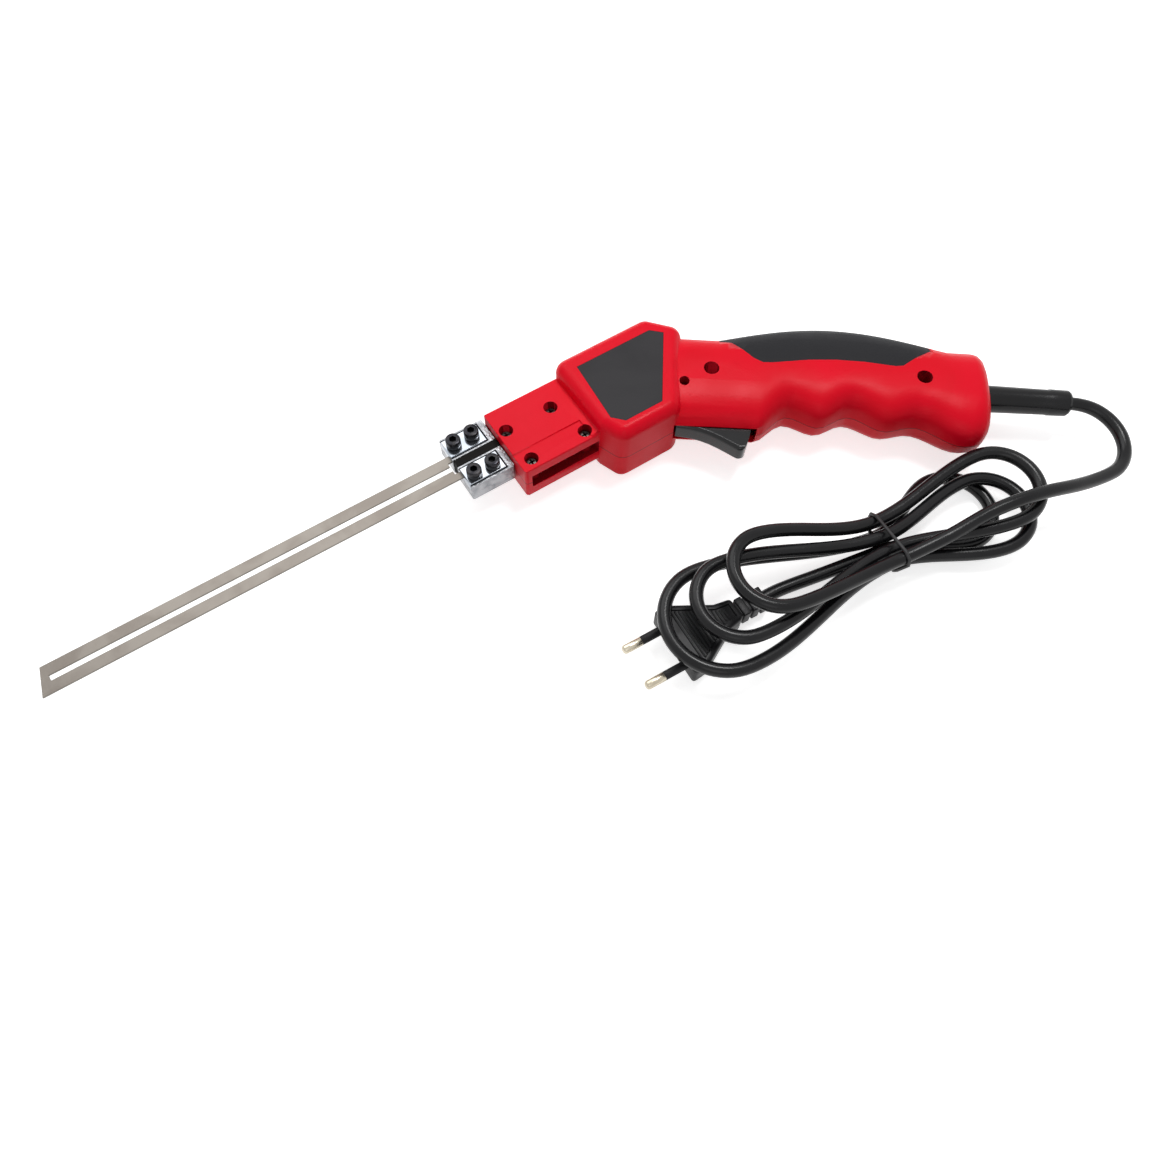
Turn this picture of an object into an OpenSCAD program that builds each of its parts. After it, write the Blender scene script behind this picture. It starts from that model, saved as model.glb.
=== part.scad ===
// Electric hot knife: a pistol-grip cutter with a U-shaped heated blade and a tied mains cord.
// X runs along the blade towards the handle, Y towards the tool's back, Z up from the rest face.

/* [Housing] */
// Length of the transformer housing along the blade
housing_l = 62.5; // [60:0.5:66]
// Width of the transformer housing across the blade
housing_w = 52.5; // [52:0.5:56]
// Thickness of the housing from side to side
body_t = 35; // [34:0.5:38]
// Rounding of the housing's edges
edge_r = 6; // [4.5:0.5:6.5]
// Wall of both casings
wall = 2.5; // [2.1:0.1:2.8]
// Thickness of the side panel
panel_t = 0.8; // [0.6:0.1:1.2]

/* [Nose] */
// Length of the nose in front of the housing
nose_l = 38; // [36:0.5:41]
// Nose width on the back side of the blade line
nose_back = 12.9; // [12.4:0.1:14]
// Nose width on the belly side of the blade line
nose_belly = 23.8; // [23:0.1:26]
// Thickness of the nose
nose_t = 20; // [19:0.5:22]
// Height of the slot in the nose's belly wall
slot_h = 4.3; // [3.8:0.1:4.6]

/* [Handle] */
// Length from the origin to the handle's end, along the handle
handle_l = 166; // [163:1:170]
// Angle of the handle below the blade line
handle_angle = 37; // [36:0.5:38]
// Thickness of the handle from side to side
handle_t = 31; // [30:0.5:33]
// Height of the hump on the handle's back above its axis
back_h = 31; // [30:0.5:33]
// Depth of the belly below the handle's axis at the trigger
belly_h = 30; // [29:0.5:31]
// Distance of the handle's axis from the origin, across the handle
axis_v = 4; // [3.5:0.1:4.5]
// Thickness of the rubber grip pads
pad_t = 2.2; // [1.8:0.1:2.6]

/* [Trigger] */
// Thickness of the trigger
trigger_t = 9; // [8:0.5:10]
// Radius of the trigger's pin
pin_r = 1.5; // [1.2:0.1:1.8]
// Reach of the trigger's tip below its inner face
trigger_reach = 21.3; // [19:0.5:22.5]
// Travel of the trigger in degrees
trigger_travel = 8; // [6:1:8]

/* [Clamps and blade] */
// Length of a clamp block
block_l = 21.8; // [20.5:0.1:23]
// Width of a clamp block
block_w = 12.7; // [12.2:0.1:13.2]
// Height of a clamp block below the blade
block_h = 6.5; // [6:0.5:8]
// Thickness of a clamp plate
plate_t = 3.5; // [3:0.1:4]
// Width of the gap between the two blocks
block_gap = 4.2; // [3.8:0.1:4.4]
// Radius of a clamp screw's head
screw_head_r = 3.4; // [3.1:0.1:3.5]
// Height of a clamp screw's head
screw_head_h = 4; // [3.5:0.1:4.5]
// Length of the blade from the clamps to its tip
blade_l = 187; // [160:1:200]
// Width of the blade over both strips
blade_w = 13.2; // [12.6:0.1:13.4]
// Width of the slot between the strips
blade_slot = 2.6; // [2.2:0.1:3]
// Thickness of the blade
blade_t = 0.9; // [0.7:0.1:1.1]

/* [Cord] */
// Diameter of the mains cord
cord_d = 6; // [5.8:0.1:6.1]
// Length of the sleeve outside the handle
sleeve_l = 40; // [38:1:42]
// Radius of the sleeve at the handle
sleeve_r = 6.2; // [5.6:0.1:6.6]
// Distance between the plug's pins
pin_gap = 18; // [17:0.2:18.6]
// Radius of a plug pin
plug_pin_r = 2; // [1.9:0.1:2.1]
// Length of the plug's pins
plug_pin_l = 19; // [18:0.5:20]

/* [Hidden] */

// Cuts run past the faces that they open by this much
over = 1;
// Gap between a moving piece and what guides it
fit = 0.05;
// Gap between pieces that lie side by side
gap = 0.3;
mid_z = body_t / 2;
round_fn = 48;
hull_fn = 24;

red = [0.85, 0.08, 0.15];
black = [0.10, 0.10, 0.11];
rubber = [0.20, 0.20, 0.21];
steel = [0.72, 0.70, 0.66];
plated = [0.82, 0.83, 0.85];
copper = [0.72, 0.42, 0.25];
brass = [0.80, 0.70, 0.45];

// Housing outline, as shares of its length and width
housing_shares = [
    [-0.432, 0.314], [0.376, 0.314], [0.568, 0.050], [0.128, -0.676], [-0.36, -0.676], [-0.432, -0.45]
];
housing_front = -housing_shares[0][0] * housing_l;

// Side panel outline, as shares of the housing's length and width
panel_shares = [
    [-0.300, 0.143], [0.328, 0.143], [0.406, 0.053], [0.038, -0.55], [-0.27, -0.55], [-0.345, -0.455]
];

// Nose: its front face, edge rounding, step and slot
nose_front = -housing_front - nose_l;
nose_edge_r = 1.5;
corner_steps = 4;
nose_step_h = 0.6;
nose_step_share = 0.5;
slot_end = 3;
slot_depth = 8;
slot_low = 3.6;
slot_roof = 0.7;
bar_room = 10.6;

// Casing screws in the nose, as shares of its length and of its width from the back
nose_screw_shares = [[0.72, 0.354], [0.11, 0.36], [0.88, 0.866], [0.16, 0.856]];
boss_r = 2.8;
sink_wall = 0.8;
collar_low = 2.6;
grip_boss_r = 4.3;
bore_r = 1.6;
pilot_r = 1.45;
case_screw_r = 1.4;
case_head_r = 2.5;
case_head_h = 1.6;
sink_r = 3.1;
case_screw_l = 12;
nose_seat = slot_h + slot_roof;
grip_seat = 3;

// Handle: where it starts inside the housing, its end rounding and its section
handle_u0 = 20;
front_l = 60;
front_share = 0.3614;
rear_screw_back = 30;
handle_end_r = 6;
half_sides = 12;
handle_rings = 40;
end_rings = 4;
section_power = 2.5;
hump_start_share = 0.27;
hump_top_share = 0.585;
hump_end_share = 0.9;
neck_back_share = 0.645;
butt_back_share = 0.66;
// Belly of the handle: knuckle, three finger grooves with ridges between, and butt,
// as shares of the handle's length and of the belly's depth
belly_shares = [
    [0, 1], [0.373, 0.97], [0.462, 0.585], [0.545, 0.75], [0.630, 0.52],
    [0.727, 0.745], [0.805, 0.64], [0.935, 0.94], [1, 0.88]
];
// Grip pad outline, as shares of the handle's length and of the hump's height above the axis
pad_shares = [
    [0.270, 0.46], [0.300, 0.42], [0.330, 0.27], [0.360, 0.11], [0.385, 0.035], [0.410, 0.04],
    [0.510, 0.13], [0.585, 0.16], [0.660, 0.15], [0.745, 0.10], [0.765, 0.12], [0.800, 0.28],
    [0.848, 0.47], [0.848, 1.3], [0.270, 1.3]
];
// Casing screws in the handle, as shares of the handle's length and height from its axis
grip_screw_shares = [0.246, -0.12, -0.065];
grip_sink_r = 3.4;

// Trigger: pivot, front and rear ends, inner face and tip, along and across the handle
pivot_u = 28.9;
pivot_v = -7.4;
pivot_boss_r = 4.5;
pin_sink_r = 2.2;
trigger_front = 26.6;
trigger_rear = 60;
trigger_inner = -14;
// Finger face from the front to the rear, as shares of the trigger's length and reach
finger_shares = [
    [0, 0.51], [0.1, 0.525], [0.2, 0.545], [0.34, 0.6], [0.46, 0.67], [0.58, 0.765], [0.7, 0.873],
    [0.8, 0.968], [0.83, 0.992], [0.86, 1], [0.89, 0.988], [0.915, 0.955], [0.937, 0.9], [0.979, 0.657], [1, 0.48]
];
trigger_lip = trigger_inner - finger_shares[len(finger_shares) - 1][1] * trigger_reach;
window_front = 25.6;
window_rear = trigger_rear + (pivot_v - trigger_lip) * sin(trigger_travel) + gap;

// Switch behind the trigger
switch_u = 46;
switch_l = 20;
switch_v = -6;
switch_h = 15;
switch_t = 20.4;
plunger_u = 49.5;
plunger_r = 2;
plunger_gap = 0.4;
plunger_in = 4;
terminal_l = 5;
terminal_w = 6;
terminal_t = 0.8;
terminal_shares = [0.05, 0.9];
spring_u = 56;
spring_r = 2.2;
wire_r = 0.4;
spring_turns = 4;
spring_rings = 8;
spring_sides = 6;

// Transformer: front, stack and coil along the housing, centre, limb, legs and window across it
core_shares = [-0.288, 0.336, 0.064];
core_x0 = core_shares[0] * housing_l;
core_stack = core_shares[1] * housing_l;
limb_shares = [-0.1905, 0.2476, 0.1143, 0.1143, 0.0762];
core_y = limb_shares[0] * housing_w;
limb_w = limb_shares[1] * housing_w;
leg_w = limb_shares[2] * housing_w;
window_w = limb_shares[3] * housing_w;
window_h = 13;
bobbin_t = 0.8;
coil_w = min(core_shares[2] * housing_l, limb_shares[4] * housing_w);
coil_h = 3.8;
coil_inset = 0.1;
strap_t = 4;
strap_front_share = -0.3872;
strap_front = strap_front_share * housing_l;
strap_cross = 4;
bar_inner = 3.4;
bar_w = 6;

function smooth(t) = t * t * (3 - 2 * t);
function mix(a, b, t) = a + (b - a) * t;
function unit(v) = v / norm(v);
function clamp01(t) = min(1, max(0, t));

// Value at place t of a table of [place, value] pairs, eased between them
function eased(table, t, i = 0) =
    i >= len(table) - 2 || t < table[i + 1][0]
    ? mix(table[i][1], table[i + 1][1],
          smooth(clamp01((t - table[i][0]) / (table[i + 1][0] - table[i][0]))))
    : eased(table, t, i + 1);

// Share of the handle's form at a place along it, and back: the front keeps its length, the rest stretches
function share_at(u) = u < front_l ? front_share * u / front_l
    : mix(front_share, 1, (u - front_l) / (handle_l - front_l));
function u_at(s) = s < front_share ? front_l * s / front_share
    : mix(front_l, handle_l, (s - front_share) / (1 - front_share));

// Height of the handle's back above its axis at a share of the length
function back_at(s) = back_h * (
    s < hump_start_share ? neck_back_share :
    s < hump_top_share ? mix(neck_back_share, 1,
        sin(90 * (s - hump_start_share) / (hump_top_share - hump_start_share))) :
    s < hump_end_share ? mix(butt_back_share, 1,
        sin(90 * (hump_end_share - s) / (hump_end_share - hump_top_share))) :
    butt_back_share);
function belly_at(s) = belly_h * eased(belly_shares, s);
function sign_pow(a, p) = sign(a) * pow(abs(a), p);

// One half ring of the handle's section on the left (1) or right (-1), drawn in at the belly, then
// at the back and sides, and shrunk at the rounded end. It runs past the parting plane.
function handle_ring(u, inset, shrink, side) = [
    for (i = [0 : half_sides])
        let (a = side * (180 * i / half_sides - 90), s = share_at(u))
        let (c = sign_pow(cos(a), 2 / section_power), h = sign_pow(sin(a), 2 / section_power))
        [u,
         axis_v + h * (h > 0 ? back_at(s) - inset[1] - shrink : belly_at(s) - inset[0] - shrink),
         mid_z + side * (abs(a) == 90 ? -over : c * (handle_t / 2 - inset[1] - shrink))]
];

// Places along the handle of the rings and how far each is drawn in at the rounded end
function handle_stations(end_u, end_r) = concat(
    [for (i = [0 : handle_rings]) [mix(handle_u0, end_u - end_r, i / handle_rings), 0]],
    [for (i = [1 : end_rings]) let (a = 90 * i / end_rings)
        [end_u - end_r + end_r * sin(a), end_r * (1 - cos(a))]]);

// Faces of a tube of rings with flat ends
function tube_faces(rings, sides) = concat(
    [for (r = [0 : rings - 2]) for (i = [0 : sides - 1]) let (j = (i + 1) % sides)
        each [[r * sides + i, r * sides + j, (r + 1) * sides + j],
              [r * sides + i, (r + 1) * sides + j, (r + 1) * sides + i]]],
    [for (i = [1 : sides - 2]) [0, i + 1, i]],
    [for (i = [1 : sides - 2]) let (b = (rings - 1) * sides) [b, b + i, b + i + 1]]);

// Length of a route, and rings of a round tube along it, each square to it
function route_length(p, i = 0) = i > len(p) - 2 ? 0 : norm(p[i + 1] - p[i]) + route_length(p, i + 1);
function route_dir(p, i) = unit(p[min(i + 1, len(p) - 1)] - p[max(i - 1, 0)]);
function route_ring(p, i, r, sides) =
    let (t = route_dir(p, i), s = unit(cross(t, [0, 0, 1])), n = cross(s, t))
    [for (k = [0 : sides - 1]) p[i] + r * (cos(360 * k / sides) * s + sin(360 * k / sides) * n)];
module route_tube(p, r, sides) {
    polyhedron([for (i = [0 : len(p) - 1]) each route_ring(p, i, r, sides)], tube_faces(len(p), sides));
}

// A frame along the handle: first the way along it, then across it towards the back
module in_handle() {
    rotate([0, 0, -handle_angle]) children();
}
function from_handle(p) = [
    p[0] * cos(handle_angle) + p[1] * sin(handle_angle),
    p[1] * cos(handle_angle) - p[0] * sin(handle_angle),
    p[2]
];

// Half of the handle's form, drawn in at the belly and at the back and sides, up to its end
module handle_form(inset, end_u, end_r, side) {
    stations = handle_stations(end_u, end_r);
    points = [for (q = stations) each handle_ring(q[0], inset, q[1], side)];
    in_handle() polyhedron(points, tube_faces(len(stations), half_sides + 1));
}

function at_shares(shares, l, w) = [for (s = shares) [s[0] * l, s[1] * w]];
housing_points = at_shares(housing_shares, housing_l, housing_w);
// Inward direction of the outline's side i, and its corner i moved in by the edge rounding
function side_in(i) = let (n = len(housing_points), d = unit(housing_points[(i + 1) % n] - housing_points[i]))
    [d[1], -d[0]];
function corner_in(i) = let (a = side_in((i + len(housing_points) - 1) % len(housing_points)), b = side_in(i))
    housing_points[i] + (a + b) * edge_r / (1 + a * b);
// A ball whose flats, not its corners, lie at the radius
module ball(r) {
    sphere(r = r / cos(180 / hull_fn), $fn = hull_fn);
}

// A rounded block over the housing's outline, drawn in by inset
module housing_form(inset) {
    hull() for (i = [0 : len(housing_points) - 1]) for (z = [edge_r, body_t - edge_r])
        translate([corner_in(i)[0], corner_in(i)[1], z]) ball(edge_r - inset);
}

// Corners of a rectangle from lo to hi, each rounded in a few steps
function round_rect(lo, hi, r) = [
    for (k = [0 : 3]) for (i = [0 : corner_steps]) let (w = 90 * (k + i / corner_steps))
        [(k == 0 || k == 3 ? hi[0] - r : lo[0] + r) + r * cos(w), (k < 2 ? hi[1] - r : lo[1] + r) + r * sin(w)]
];

// The nose's rounded block, which runs into the housing
module nose_form() {
    low = mid_z - nose_t / 2;
    intersection() {
        translate([0, 0, low]) linear_extrude(nose_t)
            polygon(round_rect([nose_front, -nose_belly], [0, nose_back], nose_edge_r));
        translate([nose_front, 0, 0]) rotate([90, 0, 90]) linear_extrude(-nose_front)
            polygon(round_rect([-nose_belly, low], [nose_back, low + nose_t], nose_edge_r));
    }
}

function nose_screw(s) = [nose_front + s[0] * nose_l, nose_back - s[1] * (nose_back + nose_belly)];
// Front and rear screw of the handle
grip_screws = [
    from_handle([u_at(grip_screw_shares[0]), axis_v + grip_screw_shares[1] * back_h, 0]),
    from_handle([handle_l - rear_screw_back, axis_v + grip_screw_shares[2] * back_h, 0])
];
// Each casing screw: place, height of its seat above the parting plane, sink radius, boss radius
screw_places = concat(
    [for (s = nose_screw_shares) concat(nose_screw(s), [nose_seat, sink_r, boss_r])],
    [for (p = grip_screws) [p[0], p[1], grip_seat, grip_sink_r, grip_boss_r]]);

// Sleeve, cord clamp and wires inside the handle, along and across it
flange_t = 3;
flange_r = 7.4;
hollow_end = handle_l - 2 * wall;
hollow_end_r = 3;
flange_u = hollow_end - flange_t;
sleeve_tip_share = 0.9;
clamp_room = 15;
cord_stub = 0.6;
clamp_u = flange_u - clamp_room;
inner_cord_u = clamp_u - cord_stub;
clamp_l = 5;
clamp_half_w = 11;
clamp_t = 2.5;
post_v = 8;
post_r = 2.8;
post_z = (body_t - handle_t) / 2 + 0.7 * wall;
clamp_screw_r = 1.2;
clamp_head_r = 2.3;
clamp_head_h = 1.8;
saddle_half_w = 3.5;
wire_d = 1.8;
wire_sides = 8;

// The half space on the left (1) or right (-1) of the parting plane
module half_space(side) {
    reach = 2 * handle_l;
    translate([-reach / 2, -reach / 2, side > 0 ? mid_z : mid_z - reach]) cube(reach);
}

// One half of the casing's outside
module casing_form(side) {
    intersection() {
        union() {
            housing_form(0);
            nose_form();
            handle_form([0, 0], handle_l, handle_end_r, side);
        }
        half_space(side);
    }
}

// The hollow of one casing, less the bosses that stand in it
module casing_hollow(side) {
    difference() {
        union() {
            housing_form(wall);
            handle_form([wall, wall + pad_t], hollow_end, hollow_end_r, side);
            translate([nose_front - over, -bar_room, mid_z - nose_t / 2 + 2 * wall])
                cube([nose_l + wall + 2 * over, 2 * bar_room, nose_t - 4 * wall]);
        }
        for (p = screw_places) translate([p[0], p[1], 0]) {
            cylinder(r = p[4], h = body_t, $fn = round_fn);
            // A sink wider than its boss has a collar around it, which starts above the bus bars
            if (p[3] + sink_wall > p[4]) translate([0, 0, mid_z + collar_low])
                cylinder(r = p[3] + sink_wall, h = body_t, $fn = round_fn);
        }
        pivot_bosses();
    }
}

// Bosses that hold the trigger's pin on both sides of the trigger
module pivot_bosses() {
    boss_h = body_t / 2 - trigger_t / 2 - gap;
    in_handle() for (z = [0, body_t - boss_h])
        translate([pivot_u, pivot_v, z]) cylinder(r = 2 * pin_r, h = boss_h, $fn = round_fn);
}

module pad_prism() {
    in_handle() translate([0, axis_v, -over])
        linear_extrude(body_t + 2 * over) polygon([for (s = pad_shares) [u_at(s[0]), s[1] * back_h]]);
}
module pad_pocket(side) {
    difference() {
        pad_prism();
        handle_form([pad_t, pad_t], handle_l, handle_end_r, side);
    }
}

// Opening in the handle's belly that the trigger swings through
module trigger_window() {
    half_t = trigger_t / 2 + gap;
    in_handle() translate([window_front, axis_v - belly_h - handle_t, mid_z - half_t])
        cube([window_rear - window_front, handle_t + belly_h + trigger_inner, 2 * half_t]);
}

// Hole for the sleeve through the handle's end
module sleeve_hole() {
    in_handle() translate([flange_u + flange_t, axis_v, mid_z])
        rotate([0, 90, 0]) cylinder(r = sleeve_r + fit, h = handle_l, $fn = round_fn);
}

// Slot in the belly wall of the nose, from low to high off the parting plane, with bosses left in it
module nose_slot(low, high) {
    difference() {
        translate([nose_front + slot_end, -nose_belly - over, mid_z + low])
            cube([nose_l - slot_end, slot_depth + over, high - low]);
        for (p = screw_places)
            translate([p[0], p[1], 0]) cylinder(r = p[4], h = body_t, $fn = round_fn);
    }
}

module panel_outline() {
    polygon(at_shares(panel_shares, housing_l, housing_w));
}

module left_casing() {
    color(red) difference() {
        casing_form(1);
        casing_hollow(1);
        pad_pocket(1);
        trigger_window();
        sleeve_hole();
        nose_slot(-over, slot_h);
        translate([nose_front - over, -nose_belly - over, mid_z + nose_t / 2 - nose_step_h])
            cube([nose_l - wall, nose_belly * (1 - nose_step_share), nose_t]);
        translate([0, 0, body_t - panel_t]) linear_extrude(panel_t + over) panel_outline();
        for (p = screw_places) translate([p[0], p[1], mid_z]) {
            translate([0, 0, -over]) cylinder(r = bore_r, h = body_t, $fn = round_fn);
            translate([0, 0, p[2]]) cylinder(r = p[3], h = body_t, $fn = round_fn);
        }
        in_handle() translate([pivot_u, pivot_v, 0]) {
            cylinder(r = pin_r, h = 2 * body_t, $fn = round_fn);
            translate([0, 0, body_t - 3 * wall]) cylinder(r = pin_sink_r, h = body_t, $fn = round_fn);
        }
    }
}

module right_casing() {
    color(red) difference() {
        union() {
            difference() {
                casing_form(-1);
                casing_hollow(-1);
                pad_pocket(-1);
                trigger_window();
                sleeve_hole();
                nose_slot(-slot_low, over);
            }
            in_handle() {
                for (s = [-1, 1]) translate([clamp_u + clamp_l / 2, axis_v + s * post_v, post_z])
                    cylinder(r = post_r, h = mid_z + cord_d / 2 - post_z, $fn = round_fn);
                translate([clamp_u, axis_v - saddle_half_w, post_z])
                    cube([clamp_l, 2 * saddle_half_w, mid_z - cord_d / 2 - post_z]);
            }
        }
        for (p = screw_places)
            translate([p[0], p[1], mid_z + p[2] - case_screw_l - gap])
                cylinder(r = pilot_r, h = body_t, $fn = round_fn);
        in_handle() {
            translate([pivot_u, pivot_v, 2 * wall]) cylinder(r = pin_r, h = body_t, $fn = round_fn);
            for (s = [-1, 1])
                translate([clamp_u + clamp_l / 2, axis_v + s * post_v, 3 * wall])
                    cylinder(r = clamp_screw_r + fit, h = body_t, $fn = round_fn);
        }
    }
}

module side_panel() {
    color(rubber) translate([0, 0, body_t - panel_t]) linear_extrude(panel_t) panel_outline();
}

module grip_pad(side) {
    color(rubber) difference() {
        intersection() {
            handle_form([0, 0], handle_l, handle_end_r, side);
            pad_prism();
            half_space(side);
        }
        handle_form([pad_t, pad_t], handle_l, handle_end_r, side);
    }
}
module left_grip_pad() { grip_pad(1); }
module right_grip_pad() { grip_pad(-1); }

module casing_screws() {
    color(steel) for (p = screw_places) translate([p[0], p[1], mid_z + p[2]]) {
        cylinder(r = case_head_r, h = case_head_h, $fn = round_fn);
        translate([0, 0, -case_screw_l]) cylinder(r = case_screw_r, h = case_screw_l, $fn = round_fn);
    }
}

module trigger_outline() {
    difference() {
        union() {
            translate([pivot_u, pivot_v]) circle(r = pivot_boss_r, $fn = round_fn);
            polygon(concat(
                [[trigger_front, pivot_v]],
                [for (s = finger_shares)
                    [mix(trigger_front, trigger_rear, s[0]), trigger_inner - s[1] * trigger_reach]],
                [[trigger_rear, trigger_inner], [pivot_u + pivot_boss_r, trigger_inner],
                 [pivot_u + pivot_boss_r, pivot_v]]));
        }
        translate([pivot_u, pivot_v]) circle(r = pin_r + fit, $fn = round_fn);
    }
}
module trigger() {
    color(black) in_handle() translate([0, 0, mid_z - trigger_t / 2])
        linear_extrude(trigger_t) trigger_outline();
}
module trigger_pin() {
    color(steel) in_handle() translate([pivot_u, pivot_v, 2 * wall])
        cylinder(r = pin_r, h = body_t - 5 * wall, $fn = round_fn);
}

// A coil of wire along the handle's across direction, from the trigger to the switch
spring_h = switch_v - trigger_inner;
spring_route = [
    for (i = [0 : spring_turns * spring_rings]) let (a = 360 * i / spring_rings)
        [spring_r * cos(a), spring_r * sin(a),
         mix(wire_r + fit, spring_h - wire_r - fit, i / (spring_turns * spring_rings))]
];
module trigger_spring() {
    color(steel) in_handle() translate([spring_u, trigger_inner, mid_z]) rotate([-90, 0, 0])
        route_tube(spring_route, wire_r, spring_sides);
}
module switch_body() {
    color(black) in_handle() difference() {
        translate([switch_u, switch_v, mid_z - switch_t / 2]) cube([switch_l, switch_h, switch_t]);
        translate([plunger_u, switch_v - over, mid_z]) rotate([-90, 0, 0])
            cylinder(r = plunger_r + fit, h = over + 2 * plunger_in, $fn = round_fn);
    }
}
module switch_plunger() {
    color(brass) in_handle() translate([plunger_u, trigger_inner + plunger_gap, mid_z])
        rotate([-90, 0, 0])
            cylinder(r = plunger_r, h = spring_h - plunger_gap + plunger_in, $fn = round_fn);
}
module switch_terminals() {
    color(brass) in_handle() for (s = terminal_shares) for (u = [switch_u - terminal_l, switch_u + switch_l])
        translate([u, switch_v + s * switch_h - terminal_t / 2, mid_z - terminal_w / 2])
            cube([terminal_l, terminal_t, terminal_w]);
}

// Transformer, seen along X: an E and I stack round one limb
core_w = limb_w + 2 * window_w + 2 * leg_w;
core_h = body_t - 2 * wall;
limb_low = core_y - limb_w / 2;
module transformer_core() {
    color([0.35, 0.35, 0.37]) difference() {
        translate([core_x0, core_y - core_w / 2, mid_z - core_h / 2]) cube([core_stack, core_w, core_h]);
        for (y = [limb_low - window_w, core_y + limb_w / 2])
            translate([core_x0 - over, y, mid_z - window_h / 2])
                cube([core_stack + 2 * over, window_w, window_h]);
    }
}

// A frame round the limb, from one distance out to another
module limb_frame(from, to, low, high) {
    translate([0, 0, mid_z + low]) linear_extrude(high - low) difference() {
        translate([core_x0 - to, limb_low - to]) square([core_stack + 2 * to, limb_w + 2 * to]);
        translate([core_x0 - from, limb_low - from]) square([core_stack + 2 * from, limb_w + 2 * from]);
    }
}
bobbin_out = coil_inset + bobbin_t;
module coil_bobbin() {
    color([0.9, 0.88, 0.8]) limb_frame(coil_inset, bobbin_out, coil_inset - window_h / 2,
        window_h / 2 - coil_inset);
}
module primary_coil() {
    top = window_h / 2 - coil_inset;
    color(copper) {
        limb_frame(bobbin_out, bobbin_out + coil_w, top - coil_h, top);
        limb_frame(bobbin_out, bobbin_out + coil_w, -top, coil_h - top);
    }
}

// One turn of thick strap round the limb, with two feet for the bus bars
module secondary_strap() {
    inner = bobbin_out + coil_inset;
    outer = inner + coil_w;
    rear = core_x0 + core_stack;
    color(copper) translate([0, 0, mid_z - strap_t / 2]) linear_extrude(strap_t) union() {
        difference() {
            translate([strap_front, limb_low - outer])
                square([rear + outer - strap_front, limb_w + 2 * outer]);
            translate([strap_front - over, limb_low - inner])
                square([rear + inner - strap_front + over, limb_w + 2 * inner]);
        }
        translate([strap_front, core_y + limb_w / 2 + inner])
            square([strap_cross, bar_inner + bar_w - core_y - limb_w / 2 - inner]);
        translate([strap_front, limb_low - outer])
            square([strap_cross, -bar_inner - limb_low + outer]);
    }
}

// Clamps: blocks, plates, screws and the bars behind them
block_rear = nose_front - gap;
block_front = block_rear - block_l;
blade_rise = 1.5;
blade_z = mid_z + blade_rise;
plate_step = 3.2;
plate_l = block_l - plate_step;
plate_inset = 0.4;
rim_w = 0.9;
rim_drop = 0.4;
tail_w = 3.4;
tail_l = 17;
shoulder_out = 2;
tip_slant = 3;
tip_bridge = 3.5;
clamp_screw_shares = [0.25, 0.74];
clamp_screw_y_share = 0.56;
clamp_shank_r = 2;
clamp_depth = 5;
socket_r = 1.75;
socket_h = 2.4;
module bus_bar(y) {
    color(copper) translate([block_rear, y, mid_z - strap_t / 2])
        cube([strap_front - block_rear, bar_w, strap_t]);
}
module upper_bus_bar() { bus_bar(bar_inner); }
module lower_bus_bar() { bus_bar(-bar_inner - bar_w); }
module bus_insulator() {
    color(black) translate([block_front + plate_inset, -block_gap / 2, blade_z - block_h])
        cube([block_l - plate_inset, block_gap, block_h + plate_t - plate_inset]);
}
function screw_x(i) = block_front + clamp_screw_shares[i] * plate_l;
screw_y = block_gap / 2 + block_w * clamp_screw_y_share;

// Draws its children for the upper block, or mirrored for the lower one
module on_side(side) {
    mirror([0, side > 0 ? 0 : 1, 0]) children();
}
module clamp_block(side) {
    color(plated) on_side(side) difference() {
        translate([block_front, block_gap / 2, blade_z - block_h])
            cube([block_l, block_w, block_h + plate_t - rim_drop]);
        translate([block_front - over, block_gap / 2 + rim_w, blade_z])
            cube([plate_l + over + gap, block_w - 2 * rim_w, plate_t]);
        for (i = [0, 1]) translate([screw_x(i), screw_y, blade_z - clamp_depth])
            cylinder(r = clamp_shank_r + fit, h = block_h, $fn = round_fn);
    }
}
module clamp_plate(side) {
    inset = rim_w + gap;
    rebate = blade_t + 2 * fit;
    color(plated) on_side(side) difference() {
        translate([block_front, block_gap / 2 + inset, blade_z])
            cube([plate_l, block_w - 2 * inset, plate_t]);
        translate([block_front - over, 0, blade_z - over])
            cube([tail_l + over + gap, blade_w / 2 + fit, rebate + over]);
        for (i = [0, 1]) translate([screw_x(i), screw_y, blade_z - over])
            cylinder(r = clamp_shank_r + fit, h = plate_t + 2 * over, $fn = round_fn);
    }
}
module upper_clamp_block() { clamp_block(1); }
module lower_clamp_block() { clamp_block(-1); }
module upper_clamp_plate() { clamp_plate(1); }
module lower_clamp_plate() { clamp_plate(-1); }
module clamp_screw(side, i) {
    shank_l = plate_t + clamp_depth - gap;
    color(black) on_side(side) translate([screw_x(i), screw_y, blade_z + plate_t]) difference() {
        union() {
            cylinder(r = screw_head_r, h = screw_head_h, $fn = round_fn);
            translate([0, 0, -shank_l]) cylinder(r = clamp_shank_r, h = shank_l, $fn = round_fn);
        }
        translate([0, 0, screw_head_h - socket_h]) cylinder(r = socket_r, h = screw_head_h, $fn = 6);
    }
}
module clamp_screw_1() { clamp_screw(1, 0); }
module clamp_screw_2() { clamp_screw(1, 1); }
module clamp_screw_3() { clamp_screw(-1, 0); }
module clamp_screw_4() { clamp_screw(-1, 1); }

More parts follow.
